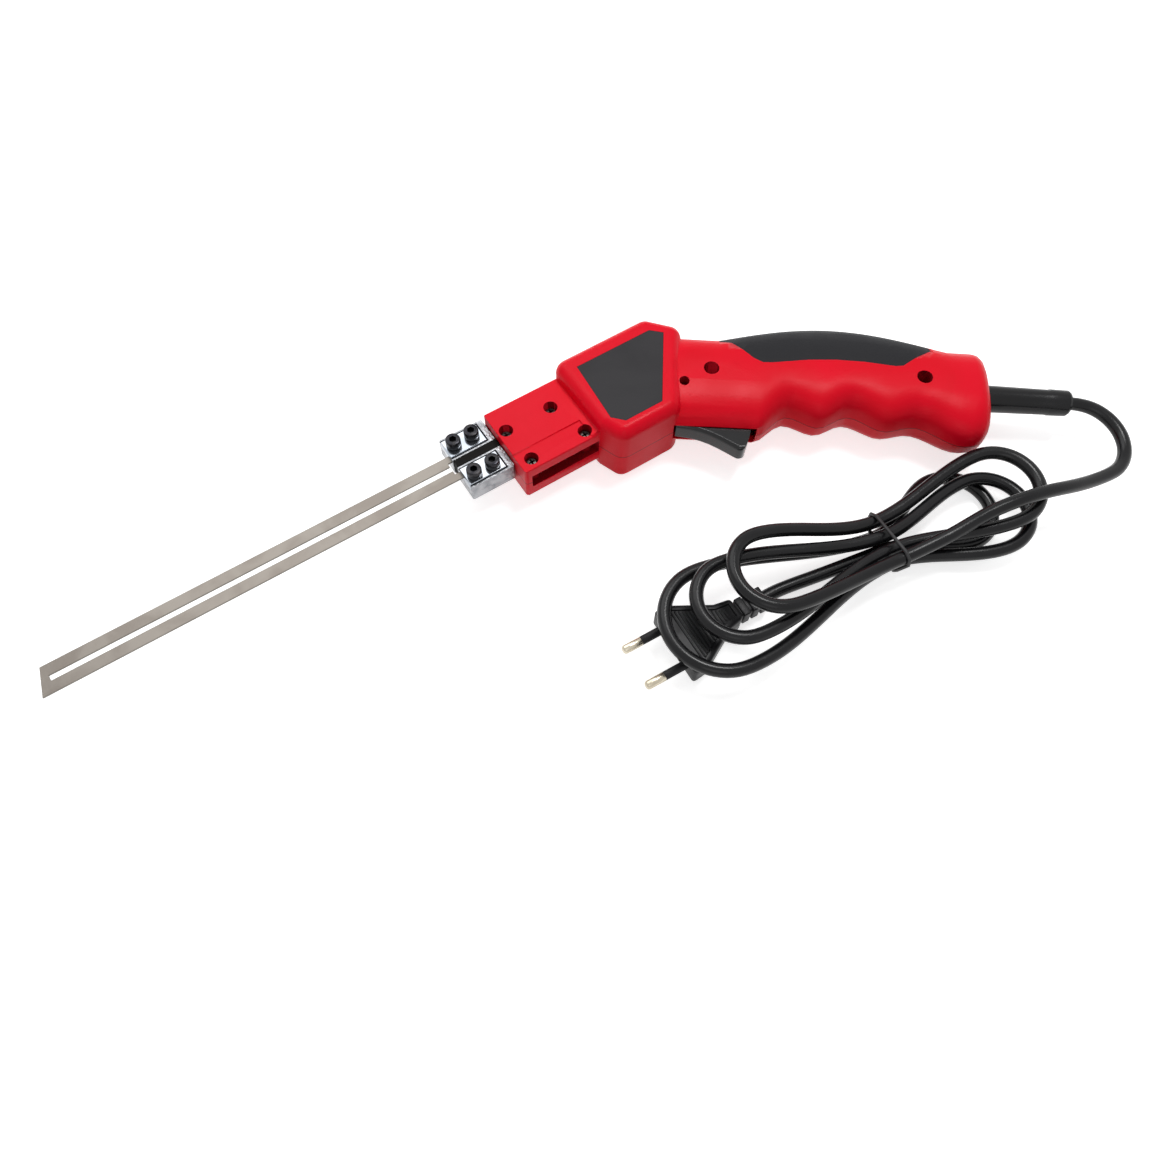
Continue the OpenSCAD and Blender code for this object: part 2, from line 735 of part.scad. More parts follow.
// Blade: two strips joined at a slanted tip, with narrower tails under the plates
module blade() {
    tip = block_front - blade_l;
    shoulder = block_front - shoulder_out;
    tail = block_front + tail_l;
    slot_x = tip + tip_slant / 2 + tip_bridge;
    half_w = blade_w / 2;
    color(steel) translate([0, 0, blade_z + fit]) linear_extrude(blade_t) polygon([
        [tip + tip_slant, half_w], [tail, half_w], [tail, half_w - tail_w], [shoulder, half_w - tail_w],
        [shoulder, blade_slot / 2], [slot_x, blade_slot / 2], [slot_x, -blade_slot / 2],
        [shoulder, -blade_slot / 2], [shoulder, tail_w - half_w], [tail, tail_w - half_w],
        [tail, -half_w], [tip, -half_w]
    ]);
}

// Sleeve: flange inside the handle, neck and taper, with the cord through it
sleeve_end = handle_l + sleeve_l;
module cord_sleeve() {
    color(black) in_handle() translate([0, axis_v, mid_z]) rotate([90, 0, 90]) rotate_extrude($fn = round_fn)
        polygon([
            [cord_d / 2 + fit, flange_u], [flange_r, flange_u], [flange_r, flange_u + flange_t],
            [sleeve_r, flange_u + flange_t], [sleeve_r, handle_l], [sleeve_r * sleeve_tip_share, sleeve_end],
            [cord_d / 2 + fit, sleeve_end]
        ]);
}
module inner_cord() {
    color(black) in_handle() translate([inner_cord_u, axis_v, mid_z]) rotate([0, 90, 0])
        cylinder(d = cord_d, h = sleeve_end - inner_cord_u, $fn = round_fn);
}
module cord_clamp() {
    color(black) in_handle() difference() {
        translate([clamp_u, axis_v - clamp_half_w, mid_z + cord_d / 2])
            cube([clamp_l, 2 * clamp_half_w, clamp_t]);
        for (s = [-1, 1]) translate([clamp_u + clamp_l / 2, axis_v + s * post_v, mid_z])
            cylinder(r = clamp_screw_r + fit, h = body_t, $fn = round_fn);
    }
}
module cord_clamp_screws() {
    top = mid_z + cord_d / 2 + clamp_t;
    color(steel) in_handle() for (s = [-1, 1])
        translate([clamp_u + clamp_l / 2, axis_v + s * post_v, 0]) {
            translate([0, 0, top]) cylinder(r = clamp_head_r, h = clamp_head_h, $fn = round_fn);
            translate([0, 0, 4 * wall]) cylinder(r = clamp_screw_r, h = top - 4 * wall, $fn = round_fn);
        }
}

// Wires from the cord round the rear boss to the switch, along and across the handle
function terminal_v(i) = switch_v + terminal_shares[i] * switch_h;
wire_apart = 1.4;
// Bends ahead of the cord's end, then at shares of the way to the switch, each with its place across
mains_wire_bends = [
    [[1, 1], [1.8, -2], [4.4, -5], [8.4, -5.5], [16.4, -4.5]],
    [[1.4, 6.4], [3.9, 8.8], [7.4, 9.5], [16.4, 8.5]]
];
mains_run_shares = [0.31, 0.7];
mains_run = [[-3, -4], [7, 7]];
wire_start = 0.6;
wire_lead = 4;
switch_end = switch_u + switch_l + terminal_l;
mains_wire_routes = [
    for (i = [0, 1]) [
        let (bends = mains_wire_bends[i], from = inner_cord_u - bends[len(bends) - 1][0],
             to = switch_end + wire_lead, v = axis_v + (2 * i - 1) * wire_apart)
        for (q = concat(
            [[inner_cord_u - fit, v], [inner_cord_u - wire_start, v]],
            [for (b = bends) [inner_cord_u - b[0], b[1]]],
            [for (k = [0, 1]) [mix(from, to, mains_run_shares[k]), mains_run[i][k]]],
            [[to, terminal_v(i)], [switch_end + fit, terminal_v(i)]]))
            from_handle([q[0], q[1], mid_z])
    ]
];
module mains_wires() {
    color([0.25, 0.35, 0.65]) for (route = mains_wire_routes) route_tube(route, wire_d / 2, wire_sides);
}

// Wires from the switch past the front boss to the coil, with the height from the parting plane
coil_wire_bends = [
    [[38.5, -5, 0], [36, -3.5, -0.5], [32, -0.8, -2], [26, 0.3, -3.5], [20, -0.6, -4.5]],
    [[38, 7.2, 0.5], [33, 4.5, 2], [27, 2.5, 3.5], [21, 0.5, 4.5]]
];
coil_rear = core_x0 + core_stack + bobbin_out + coil_w;
coil_wire_z = 4.5;
coil_wire_routes = [
    for (i = [0, 1]) let (z = mid_z + (2 * i - 1) * coil_wire_z) concat(
        [for (ahead = [fit, wire_start]) from_handle([switch_u - terminal_l - ahead, terminal_v(i), mid_z])],
        [for (q = coil_wire_bends[i]) from_handle([q[0], q[1], mid_z + q[2]])],
        [[coil_rear + wire_lead, core_y, z], [coil_rear, core_y, z]])
];
module coil_wires() {
    color([0.45, 0.30, 0.20]) for (route = coil_wire_routes) route_tube(route, wire_d / 2, wire_sides);
}

// Plug: flat moulded body, ribbed strain relief and two half-sleeved pins.
// It lies flat, with its own frame running from the cord towards the pins.
plug_end = [-7.2, -120.1];
plug_angle = 177;
plug_z = 6;
plug_t = 12;
plug_w = 32;
plug_l = 31;
relief_l = 14;
relief_r = 4.4;
relief_ribs = 4;
rib_share = 0.55;
groove_share = 0.72;
plug_shares = [
    [0, -0.16], [0.25, -0.2], [0.55, -0.36], [0.78, -0.48], [1, -0.5],
    [1, 0.5], [0.78, 0.48], [0.55, 0.36], [0.25, 0.2], [0, 0.16]
];
sleeved_share = 0.53;
pin_core_share = 0.7;
pin_sleeve_share = 1;
function plug_place(p) = [
    plug_end[0] + p[0] * cos(plug_angle) - p[1] * sin(plug_angle),
    plug_end[1] + p[0] * sin(plug_angle) + p[1] * cos(plug_angle),
    p[2]
];
module in_plug() {
    translate([plug_end[0], plug_end[1], plug_z]) rotate([0, 0, plug_angle]) children();
}
module plug_body() {
    color(black) in_plug() translate([relief_l, 0, -plug_t / 2])
        linear_extrude(plug_t) polygon(at_shares(plug_shares, plug_l, plug_w));
}
module plug_relief() {
    pitch = relief_l / relief_ribs;
    color(black) in_plug() rotate([0, 90, 0]) for (i = [0 : relief_ribs - 1]) translate([0, 0, i * pitch]) {
        cylinder(r = relief_r, h = pitch * rib_share, $fn = round_fn);
        cylinder(r = relief_r * groove_share, h = pitch, $fn = round_fn);
    }
}
module at_pins() {
    for (s = [-1, 1]) in_plug() translate([relief_l + plug_l, s * pin_gap / 2, 0])
        rotate([0, 90, 0]) children();
}
module plug_pins() {
    sleeved = plug_pin_l * sleeved_share;
    color(brass) at_pins() {
        cylinder(r = plug_pin_r * pin_core_share, h = sleeved, $fn = round_fn);
        translate([0, 0, sleeved]) cylinder(r = plug_pin_r, h = plug_pin_l - sleeved, $fn = round_fn);
    }
}
module pin_sleeves() {
    color(black) at_pins() difference() {
        cylinder(r = plug_pin_r * pin_sleeve_share, h = plug_pin_l * sleeved_share, $fn = round_fn);
        translate([0, 0, -over])
            cylinder(r = plug_pin_r * pin_core_share + fit, h = plug_pin_l + over, $fn = round_fn);
    }
}

// Hank: three turns in two layers between two ends, drawn in at the waist.
// Its waist and the way it lies.
waist = [52, -130];
hank_angle = 170.5;
// Where each pass crosses the waist: distance across it, and height
hank_passes = [
    [-10.4, 16], [11, 12.2], [-3.4, 12.2], [3.2, 12.2], [-6.8, 5.4], [6.8, 5.4], [0, 5.4]
];
// Each loop: side, reach from the waist, end radius, shift of its end, height of its end
hank_loops = [
    [1, 74, 18, 3, 27], [-1, 75, 18, 3, 17.4], [1, 92, 18, -1, 20.4],
    [-1, 68, 18, -4, 10.2], [1, 107, 24, -4, 15.6], [-1, 58, 18, 8, 3.2]
];
arm_steps = 3;
end_steps = 6;
hank_sides = 6;
function hank_flat(i) =
    let (q = hank_loops[i], a = hank_passes[i], b = hank_passes[i + 1], l = q[1] - q[2], up = -q[0])
    concat(
        [for (k = [0 : arm_steps - 1]) let (t = k / arm_steps)
            [l * t, mix(a[0], q[3] + up * q[2], smooth(t)), a[1]]],
        [for (k = [0 : end_steps]) let (w = 180 * k / end_steps)
            [l + q[2] * sin(w), q[3] + up * q[2] * cos(w), mix(a[1], b[1], k / end_steps)]],
        [for (k = [1 : arm_steps - 1]) let (t = 1 - k / arm_steps)
            [l * t, mix(b[0], q[3] - up * q[2], smooth(t)), b[1]]]);
function hank_loop(i) = [
    for (p = hank_flat(i)) let (q = hank_loops[i])
        hank_place([q[0] * p[0], p[1], mix(p[2], q[4], smooth(p[0] / q[1]))])
];
function hank_place(p) = [
    waist[0] + p[0] * cos(hank_angle) + p[1] * sin(hank_angle),
    waist[1] + p[0] * sin(hank_angle) - p[1] * cos(hank_angle),
    p[2]
];
hank_start = [[-18, -10.4, 19.2], [-12, -10.4, 17.8]];
hank_tail = [[0, 0, 5.4], [20, 0, 5.5], [40, 0.5, 5.9], [52, 0.9, 6]];
hank_route = concat(
    [for (p = hank_start) hank_place(p)],
    [for (i = [0 : len(hank_loops) - 1]) each hank_loop(i)],
    [for (p = hank_tail) hank_place(p)],
    [plug_place([0, 0, plug_z])]
);
module cord_hank() {
    color(black) route_tube(hank_route, cord_d / 2, hank_sides);
}
hank_far = 4;
echo(hank_least_gap = min([
    for (i = [0 : len(hank_route) - 1]) for (j = [i + hank_far : 1 : len(hank_route) - 1])
        norm(hank_route[i] - hank_route[j])
]) - cord_d);
echo(hank_length = route_length(hank_route));

// Free stretch of the cord: out of the sleeve, round, and over the end of the hank
lead_route = concat(
    [from_handle([sleeve_end, axis_v, mid_z]), from_handle([sleeve_end + cord_d, axis_v, mid_z])],
    [
        [176, -129, 17], [178.5, -134, 16], [179, -139.5, 15], [177, -145, 14], [173, -149.5, 13.5],
        [168, -152, 13.5], [162, -153, 14], [155, -152.5, 15], [147, -151.5, 17.5], [138, -150, 21],
        [130, -148.5, 23.7], [122, -147.3, 24.8], [113, -146.3, 24.8], [102, -145.5, 23.7], [90, -144.8, 22]
    ],
    [hank_route[0] + cord_d * unit(hank_route[0] - hank_route[1]), hank_route[0]]
);
lead_sides = 10;
module cord_lead() {
    color(black) route_tube(lead_route, cord_d / 2, lead_sides);
}
echo(lead_length = route_length(lead_route));
echo(lead_hank_gap = min([
    for (i = [0 : len(lead_route) - 4]) for (q = hank_route) norm(lead_route[i] - q)
]) - cord_d);

// Tie: a thin band wound once round the bundle at the waist
tie_d = 1.6;
tie_low = -13.7;
tie_high = 14.3;
tie_top = 19.3;
tie_bottom = 2.1;
module cord_tie() {
    r = tie_d;
    color(black) translate([waist[0], waist[1], 0]) rotate([0, 0, hank_angle + 180]) rotate([90, 0, 90])
        linear_extrude(tie_d, center = true) difference() {
            translate([tie_low - r, tie_bottom - r])
                square([tie_high - tie_low + 2 * r, tie_top - tie_bottom + 2 * r]);
            translate([tie_low, tie_bottom]) square([tie_high - tie_low, tie_top - tie_bottom]);
        }
}

left_casing();
right_casing();
side_panel();
left_grip_pad();
right_grip_pad();
casing_screws();
trigger();
trigger_pin();
trigger_spring();
switch_body();
switch_plunger();
switch_terminals();
transformer_core();
coil_bobbin();
primary_coil();
secondary_strap();
upper_bus_bar();
lower_bus_bar();
bus_insulator();
upper_clamp_block();
lower_clamp_block();
upper_clamp_plate();
lower_clamp_plate();
clamp_screw_1();
clamp_screw_2();
clamp_screw_3();
clamp_screw_4();
blade();
cord_sleeve();
inner_cord();
cord_clamp();
cord_clamp_screws();
mains_wires();
coil_wires();
cord_lead();
cord_hank();
cord_tie();
plug_body();
plug_relief();
plug_pins();
pin_sleeves();
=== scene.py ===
"""Looks of an electric hot knife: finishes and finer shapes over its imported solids.

X runs along the blade towards the handle, Y towards the tool's back and Z up from the side it rests on.
Sizes are in millimetres unless a note says metres. New shapes are scaled to metres when they are finished,
and copies of solids are in metres from the start.
"""

import logging
import math
from dataclasses import dataclass
from enum import Enum
from typing import Callable, Optional, Sequence

import bmesh
import bpy
from mathutils import Matrix, Vector


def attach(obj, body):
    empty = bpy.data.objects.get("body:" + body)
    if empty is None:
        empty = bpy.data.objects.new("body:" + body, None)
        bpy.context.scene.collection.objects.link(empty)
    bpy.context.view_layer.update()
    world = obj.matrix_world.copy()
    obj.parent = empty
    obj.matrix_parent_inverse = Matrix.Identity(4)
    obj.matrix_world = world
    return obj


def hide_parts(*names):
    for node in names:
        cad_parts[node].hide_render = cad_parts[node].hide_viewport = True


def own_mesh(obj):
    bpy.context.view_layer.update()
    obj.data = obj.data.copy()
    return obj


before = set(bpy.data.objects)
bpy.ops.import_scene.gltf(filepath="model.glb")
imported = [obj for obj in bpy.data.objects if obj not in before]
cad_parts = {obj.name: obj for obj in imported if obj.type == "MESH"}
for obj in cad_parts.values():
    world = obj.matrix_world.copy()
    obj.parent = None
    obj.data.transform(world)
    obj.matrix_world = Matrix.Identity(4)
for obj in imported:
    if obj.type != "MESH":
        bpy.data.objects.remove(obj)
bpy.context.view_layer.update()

LOG = logging.getLogger("hot_knife")
MM = 0.001
TOOL = "tool"
# Places that several pieces share: parting line, handle, screws, their sinks, slot in the nose, plug.
MID_Z = 17.5
HANDLE_ANGLE = 37.0
AXIS_V = 4.0
NOSE_SCREWS = ((-37.64, -0.09), (-60.82, -0.31), (-31.56, -18.88), (-58.92, -18.52))
HANDLE_SCREWS = ((32.8, -24.35), (109.84, -80.23))
TRIGGER_PIN = (18.63, -23.3)
SINK_RADII = ((NOSE_SCREWS, 3.2), (HANDLE_SCREWS, 3.5), ((TRIGGER_PIN,), 2.3))
SINKS = [(x, y, radius) for places, radius in SINK_RADII for x, y in places]
SLOT_BOX = ((-62.2, -23.5, 13.7), (-26.8, -9.0, 22.0))
PLUG_END = (-7.2, -120.1)
PLUG_Z = 6.0
# Share of the clean colour left in the screw sinks and the nose slot, where shade is painted, and in the
# parting line, and the line's half width in metres.
SINK_SHADE = 0.34
SEAM_SHADE = 0.25
SEAM_WIDTH = 0.00028
# Half width of an arm of a cross recess, as a share of its length.
CROSS_ARM = 0.26
# Distances at which points are one, share of a rounding too small to keep, and weight of large faces.
MERGE_METRES = 1e-6
MERGE_MM = 1e-4
TINY_SHARE = 0.02
FLAT_ANGLE = 1.0
NORMAL_WEIGHT = 90
WHITE = (1.0, 1.0, 1.0, 1.0)

Point = tuple[float, float, float]
Flat = tuple[float, float]
Colour = tuple[float, float, float, float]
Socket = bpy.types.NodeSocket
Tree = bpy.types.NodeTree
Node = bpy.types.Node
Piece = bpy.types.Object
Shape = bmesh.types.BMesh
Edge = bmesh.types.BMEdge


def linear(red: int, green: int, blue: int) -> Colour:
    """Turns a screen colour into the linear colour that a shader takes.

    Args:
        red: red from 0 to 255.
        green: green from 0 to 255.
        blue: blue from 0 to 255.

    Returns:
        The linear colour with full alpha.
    """

    def channel(value: int) -> float:
        """One channel of the colour."""
        share = value / 255.0
        return share / 12.92 if share <= 0.04045 else ((share + 0.055) / 1.055) ** 2.4

    return (channel(red), channel(green), channel(blue), 1.0)


def in_handle(u: float, v: float, z: float) -> Vector:
    """Gives the place of a point that is known along and across the handle."""
    return Matrix.Rotation(math.radians(-HANDLE_ANGLE), 3, "Z") @ Vector((u, v, z))


class Sheet:
    """A node tree with short calls to add and join its nodes."""

    def __init__(self, tree: Tree) -> None:
        """Keeps the tree that the nodes go into."""
        self.tree = tree

    def add(self, kind: str, **settings: object) -> Node:
        """Adds a node.

        Args:
            kind: the node's type.
            settings: properties of the node to set.

        Returns:
            The new node.
        """
        made = self.tree.nodes.new(kind)
        for name, value in settings.items():
            setattr(made, name, value)
        return made

    def join(self, start: Socket, end: Socket) -> None:
        """Links an output to an input."""
        self.tree.links.new(start, end)

    def place(self) -> Socket:
        """Gives the object's own coordinates."""
        return self.add("ShaderNodeTexCoord").outputs["Object"]

    def noise(self, place: Socket, scale: Socket, detail: float, distortion: float = 0.0) -> Socket:
        """Adds a noise texture.

        Args:
            place: coordinates that it reads.
            scale: its scale.
            detail: its depth of detail.
            distortion: how far it is warped.

        Returns:
            Its value.
        """
        made = self.add("ShaderNodeTexNoise")
        made.inputs["Detail"].default_value = detail
        made.inputs["Distortion"].default_value = distortion
        self.join(place, made.inputs["Vector"])
        self.join(scale, made.inputs["Scale"])
        return made.outputs["Fac"]

    def value(self, operation: str, first: object, second: object) -> Socket:
        """Adds a math node.

        Args:
            operation: the math operation.
            first: a socket or a number.
            second: a socket or a number.

        Returns:
            The node's result.
        """
        made = self.add("ShaderNodeMath", operation=operation)
        for slot, item in enumerate((first, second)):
            if isinstance(item, Socket):
                self.join(item, made.inputs[slot])
            else:
                made.inputs[slot].default_value = item
        return made.outputs[0]

    def vector(self, operation: str, first: Socket, second: Vector) -> Socket:
        """Adds a vector node.

        Args:
            operation: its operation.
            first: a socket.
            second: a constant vector.

        Returns:
            Its output, a number for a distance and a vector otherwise.
        """
        made = self.add("ShaderNodeVectorMath", operation=operation)
        self.join(first, made.inputs[0])
        made.inputs[1].default_value = second
        return made.outputs["Value" if operation == "DISTANCE" else "Vector"]

    def between(self, socket: Socket, low: float, high: float, to: Flat) -> Socket:
        """Maps a value from one range to another and holds it there.

        Args:
            socket: the value.
            low: value that maps to the first end.
            high: value that maps to the second end.
            to: the two ends.

        Returns:
            The mapped value.
        """
        made = self.add("ShaderNodeMapRange", interpolation_type="SMOOTHSTEP")
        self.join(socket, made.inputs["Value"])
        made.inputs["From Min"].default_value = low
        made.inputs["From Max"].default_value = high
        made.inputs["To Min"].default_value = to[0]
        made.inputs["To Max"].default_value = to[1]
        return made.outputs["Result"]


class Effect(Enum):
    """Shared surface effects, each one node group."""

    GRAIN = "Moulded grain"
    MARKS = "Handling marks"
    BRUSHED = "Brushed lines"
    SEAM = "Parting line"
    # Painted shade, darkening the casing's screw sinks and nose slot.
    SHADE = "Painted shade in recesses"

    def group(self) -> Tree:
        """Returns the effect's node group, built on its first use."""
        found = bpy.data.node_groups.get(self.value)
        return found if found else EFFECT_MAKERS[self]()


def open_group(effect: Effect, inputs: dict[str, float], output: str) -> tuple[Sheet, Node, Node]:
    """Starts a node group with named sockets.

    Args:
        effect: the effect that the group makes.
        inputs: name and first value of each input.
        output: name of the output.

    Returns:
        The group's sheet, its input node and its output node.
    """
    tree = bpy.data.node_groups.new(effect.value, "ShaderNodeTree")
    for name, value in inputs.items():
        socket = tree.interface.new_socket(name=name, in_out="INPUT", socket_type="NodeSocketFloat")
        socket.default_value = value
    tree.interface.new_socket(name=output, in_out="OUTPUT", socket_type="NodeSocketFloat")
    sheet = Sheet(tree)
    return sheet, sheet.add("NodeGroupInput"), sheet.add("NodeGroupOutput")


def grain_group() -> Tree:
    """Builds the fine pitted grain of a moulded or rubber surface.

    Returns:
        The node group.
    """
    sheet, start, end = open_group(Effect.GRAIN, {"Scale": 900.0}, "Height")
    place = sheet.place()
    pits = sheet.add("ShaderNodeTexVoronoi")
    sheet.join(place, pits.inputs["Vector"])
    sheet.join(start.outputs["Scale"], pits.inputs["Scale"])
    cloud = sheet.noise(place, start.outputs["Scale"], 3.0)
    sheet.join(sheet.value("ADD", pits.outputs["Distance"], cloud), end.inputs["Height"])
    return sheet.tree


def marks_group() -> Tree:
    """Builds broad soft patches, as hands and storage leave them.

    Returns:
        The node group.
    """
    sheet, start, end = open_group(Effect.MARKS, {"Scale": 25.0}, "Mask")
    cloud = sheet.noise(sheet.place(), start.outputs["Scale"], 4.0, 0.6)
    sheet.join(sheet.between(cloud, 0.35, 0.68, (0.0, 1.0)), end.inputs["Mask"])
    return sheet.tree


def brushed_group() -> Tree:
    """Builds fine lines across the blade, as grinding leaves them on strip.

    Returns:
        The node group.
    """
    sheet, start, end = open_group(Effect.BRUSHED, {"Scale": 1500.0}, "Height")
    stretch = sheet.add("ShaderNodeMapping")
    stretch.inputs["Scale"].default_value = (1.0, 0.04, 0.04)
    sheet.join(sheet.place(), stretch.inputs["Vector"])
    lines = sheet.noise(stretch.outputs["Vector"], start.outputs["Scale"], 2.0)
    sheet.join(lines, end.inputs["Height"])
    return sheet.tree


def seam_group() -> Tree:
    """Builds a thin line at one height, where two mouldings meet.

    Returns:
        The node group.
    """
    sheet, start, end = open_group(Effect.SEAM, {"Level": 0.0, "Width": SEAM_WIDTH}, "Mask")
    parts = sheet.add("ShaderNodeSeparateXYZ")
    sheet.join(sheet.place(), parts.inputs["Vector"])
    off = sheet.value("SUBTRACT", parts.outputs["Z"], start.outputs["Level"])
    share = sheet.value("DIVIDE", sheet.value("ABSOLUTE", off, 0.0), start.outputs["Width"])
    sheet.join(sheet.between(share, 0.4, 1.0, (1.0, 0.0)), end.inputs["Mask"])
    return sheet.tree


def shade_group() -> Tree:
    """Builds a mask of the casing's screw sinks and of the slot in its nose, where shade is painted into the
    colour.

    Returns:
        The node group.
    """
    sheet, _, end = open_group(Effect.SHADE, {}, "Mask")
    place = sheet.place()
    flat = sheet.vector("MULTIPLY", place, Vector((1.0, 1.0, 0.0)))
    mask = sheet.value("ADD", 0.0, 0.0)
    for x, y, radius in SINKS:
        off = sheet.vector("DISTANCE", flat, Vector((x, y, 0.0)) * MM)
        mask = sheet.value("MAXIMUM", mask, sheet.value("LESS_THAN", off, radius * MM))
    low, high = (Vector(corner) * MM for corner in SLOT_BOX)
    off = sheet.vector("SUBTRACT", place, (low + high) / 2)
    size = (high - low) / 2
    share = sheet.vector("MULTIPLY", off, Vector((1 / size.x, 1 / size.y, 1 / size.z)))
    parts = sheet.add("ShaderNodeSeparateXYZ")
    sheet.join(sheet.vector("ABSOLUTE", share, Vector()), parts.inputs["Vector"])
    across = sheet.value("MAXIMUM", parts.outputs["Y"], parts.outputs["Z"])
    farthest = sheet.value("MAXIMUM", parts.outputs["X"], across)
    sheet.join(sheet.value("MAXIMUM", mask, sheet.value("LESS_THAN", farthest, 1.0)), end.inputs["Mask"])
    return sheet.tree


EFFECT_MAKERS: dict[Effect, Callable[[], Tree]] = {
    Effect.GRAIN: grain_group,
    Effect.MARKS: marks_group,
    Effect.BRUSHED: brushed_group,
    Effect.SEAM: seam_group,
    Effect.SHADE: shade_group,
}


@dataclass(frozen=True)
class Finish:
    """One surface finish, from which its material is built.

    Attributes:
        name: the record's material slot.
        colour: linear colour of the clean surface.
        worn: linear colour of its soft patches.
        roughness: roughness of the clean surface.
        spread: how far the patches raise the roughness.
        metallic: 1 for bare metal.
        specular: level of the mirrored light, 0.5 for bare plastic.
        marks_scale: scale of the soft patches.
        grain_scale: scale of the fine grain, or of brushed lines.
        grain_depth: depth of the grain in metres.
        brushed: whether the grain is brushed lines.
        seam: whether the parting line shows on it.
        shade: whether shade is painted into its screw sinks and nose slot, which also get full roughness.
    """

    name: str
    colour: Colour
    worn: Colour
    roughness: float
    spread: float = 0.1
    metallic: float = 0.0
    specular: float = 0.5
    marks_scale: float = 25.0
    grain_scale: float = 900.0
    grain_depth: float = 0.00002
    brushed: bool = False
    seam: bool = False
    shade: bool = False

    def material(self) -> bpy.types.Material:
        """Returns the finish's material, built on its first use."""
        found = bpy.data.materials.get(self.name + "_finish")
        return found if found else self.build()

    def place_group(self, sheet: Sheet, effect: Effect, **values: float) -> Node:
        """Places a shared effect in the material.

        Args:
            sheet: the material's node sheet.
            effect: the effect to place.
            values: the group's own values here.

        Returns:
            The group's node.
        """
        made = sheet.add("ShaderNodeGroup", node_tree=effect.group())
        for name, value in values.items():
            made.inputs[name].default_value = value
        return made

    def darker(self, sheet: Sheet, colour: Socket, mask: Socket, share: float) -> Socket:
        """Darkens a colour where a mask is 1.

        Args:
            sheet: the material's node sheet.
            colour: the colour so far.
            mask: where it gets darker.
            share: how much of the clean colour is left there.

        Returns:
            The new colour.
        """
        dark = sheet.add("ShaderNodeMix", data_type="RGBA")
        first, second = (socket for socket in dark.inputs if socket.type == "RGBA")
        second.default_value = tuple(share * part for part in self.colour[:3]) + (1.0,)
        sheet.join(colour, first)
        sheet.join(mask, dark.inputs["Factor"])
        return next(socket for socket in dark.outputs if socket.type == "RGBA")

    def build(self) -> bpy.types.Material:
        """Builds the material.

        Returns:
            The new material.
        """
        made = bpy.data.materials.new(self.name + "_finish")
        made.use_nodes = True
        sheet = Sheet(made.node_tree)
        shader = made.node_tree.nodes["Principled BSDF"]
        shader.inputs["Metallic"].default_value = self.metallic
        shader.inputs["Specular IOR Level"].default_value = self.specular
        marks = self.place_group(sheet, Effect.MARKS, Scale=self.marks_scale)
        tone = sheet.add("ShaderNodeMix", data_type="RGBA")
        for socket in tone.inputs:
            if socket.type == "RGBA":
                socket.default_value = self.colour if socket.name == "A" else self.worn
        sheet.join(marks.outputs["Mask"], tone.inputs["Factor"])
        colour = next(socket for socket in tone.outputs if socket.type == "RGBA")
        roughest = self.roughness + self.spread
        rough = sheet.between(marks.outputs["Mask"], 0.0, 1.0, (self.roughness, roughest))
        effect = Effect.BRUSHED if self.brushed else Effect.GRAIN
        grain = self.place_group(sheet, effect, Scale=self.grain_scale)
        if self.seam:
            line = self.place_group(sheet, Effect.SEAM, Level=MID_Z * MM, Width=SEAM_WIDTH)
            colour = self.darker(sheet, colour, line.outputs["Mask"], SEAM_SHADE)
        # Painted shade: the colour is darkened in the screw sinks and the nose slot.
        if self.shade:
            painted_shade_node = self.place_group(sheet, Effect.SHADE)
            colour = self.darker(sheet, colour, painted_shade_node.outputs["Mask"], SINK_SHADE)
            rough = sheet.value("MAXIMUM", rough, painted_shade_node.outputs["Mask"])
        bump = sheet.add("ShaderNodeBump")
        bump.inputs["Distance"].default_value = self.grain_depth
        bump.inputs["Strength"].default_value = 1.0
        sheet.join(grain.outputs["Height"], bump.inputs["Height"])
        sheet.join(colour, shader.inputs["Base Color"])
        sheet.join(rough, shader.inputs["Roughness"])
        sheet.join(bump.outputs["Normal"], shader.inputs["Normal"])
        return made


CASING = Finish(
    "casing", linear(232, 5, 36), linear(225, 4, 31), 0.31, 0.1,
    specular=0.13, grain_scale=1400.0, grain_depth=0.00003, seam=True, shade=True,
)
PANEL = Finish("panel", linear(54, 53, 55), linear(50, 49, 51), 0.5, 0.1, specular=0.12, grain_scale=1800.0)
GRIP_RUBBER = Finish(
    "grip_rubber", linear(28, 28, 31), linear(33, 33, 36), 0.5, 0.12,
    specular=0.15, grain_scale=1500.0, grain_depth=0.00004, seam=True,
)
SCREW_STEEL = Finish("screw_steel", linear(112, 106, 102), linear(88, 83, 80), 0.34, 0.2, metallic=1.0)
TRIGGER = Finish(
    "trigger", linear(12, 12, 14), linear(17, 17, 19), 0.13, 0.05, specular=0.34, grain_scale=1400.0,
)
INNER_PLASTIC = Finish("inner_plastic", linear(40, 40, 42), linear(50, 50, 52), 0.5)
CONTACT_BRASS = Finish("contact_brass", linear(212, 178, 104), linear(180, 146, 84), 0.3, metallic=1.0)
CORE_IRON = Finish("core_iron", linear(88, 88, 92), linear(70, 66, 62), 0.5, metallic=1.0)
BOBBIN_PLASTIC = Finish("bobbin_plastic", linear(232, 226, 206), linear(220, 212, 190), 0.5)
COPPER = Finish("copper", linear(196, 118, 78), linear(160, 92, 62), 0.3, metallic=1.0)
INSULATOR = Finish("insulator", linear(14, 13, 13), linear(22, 20, 19), 0.6, specular=0.1)
PLATED_METAL = Finish(
    "plated_metal", linear(158, 159, 162), linear(132, 134, 138), 0.3, 0.14,
    metallic=1.0, marks_scale=220.0, grain_scale=900.0, grain_depth=0.00016,
)
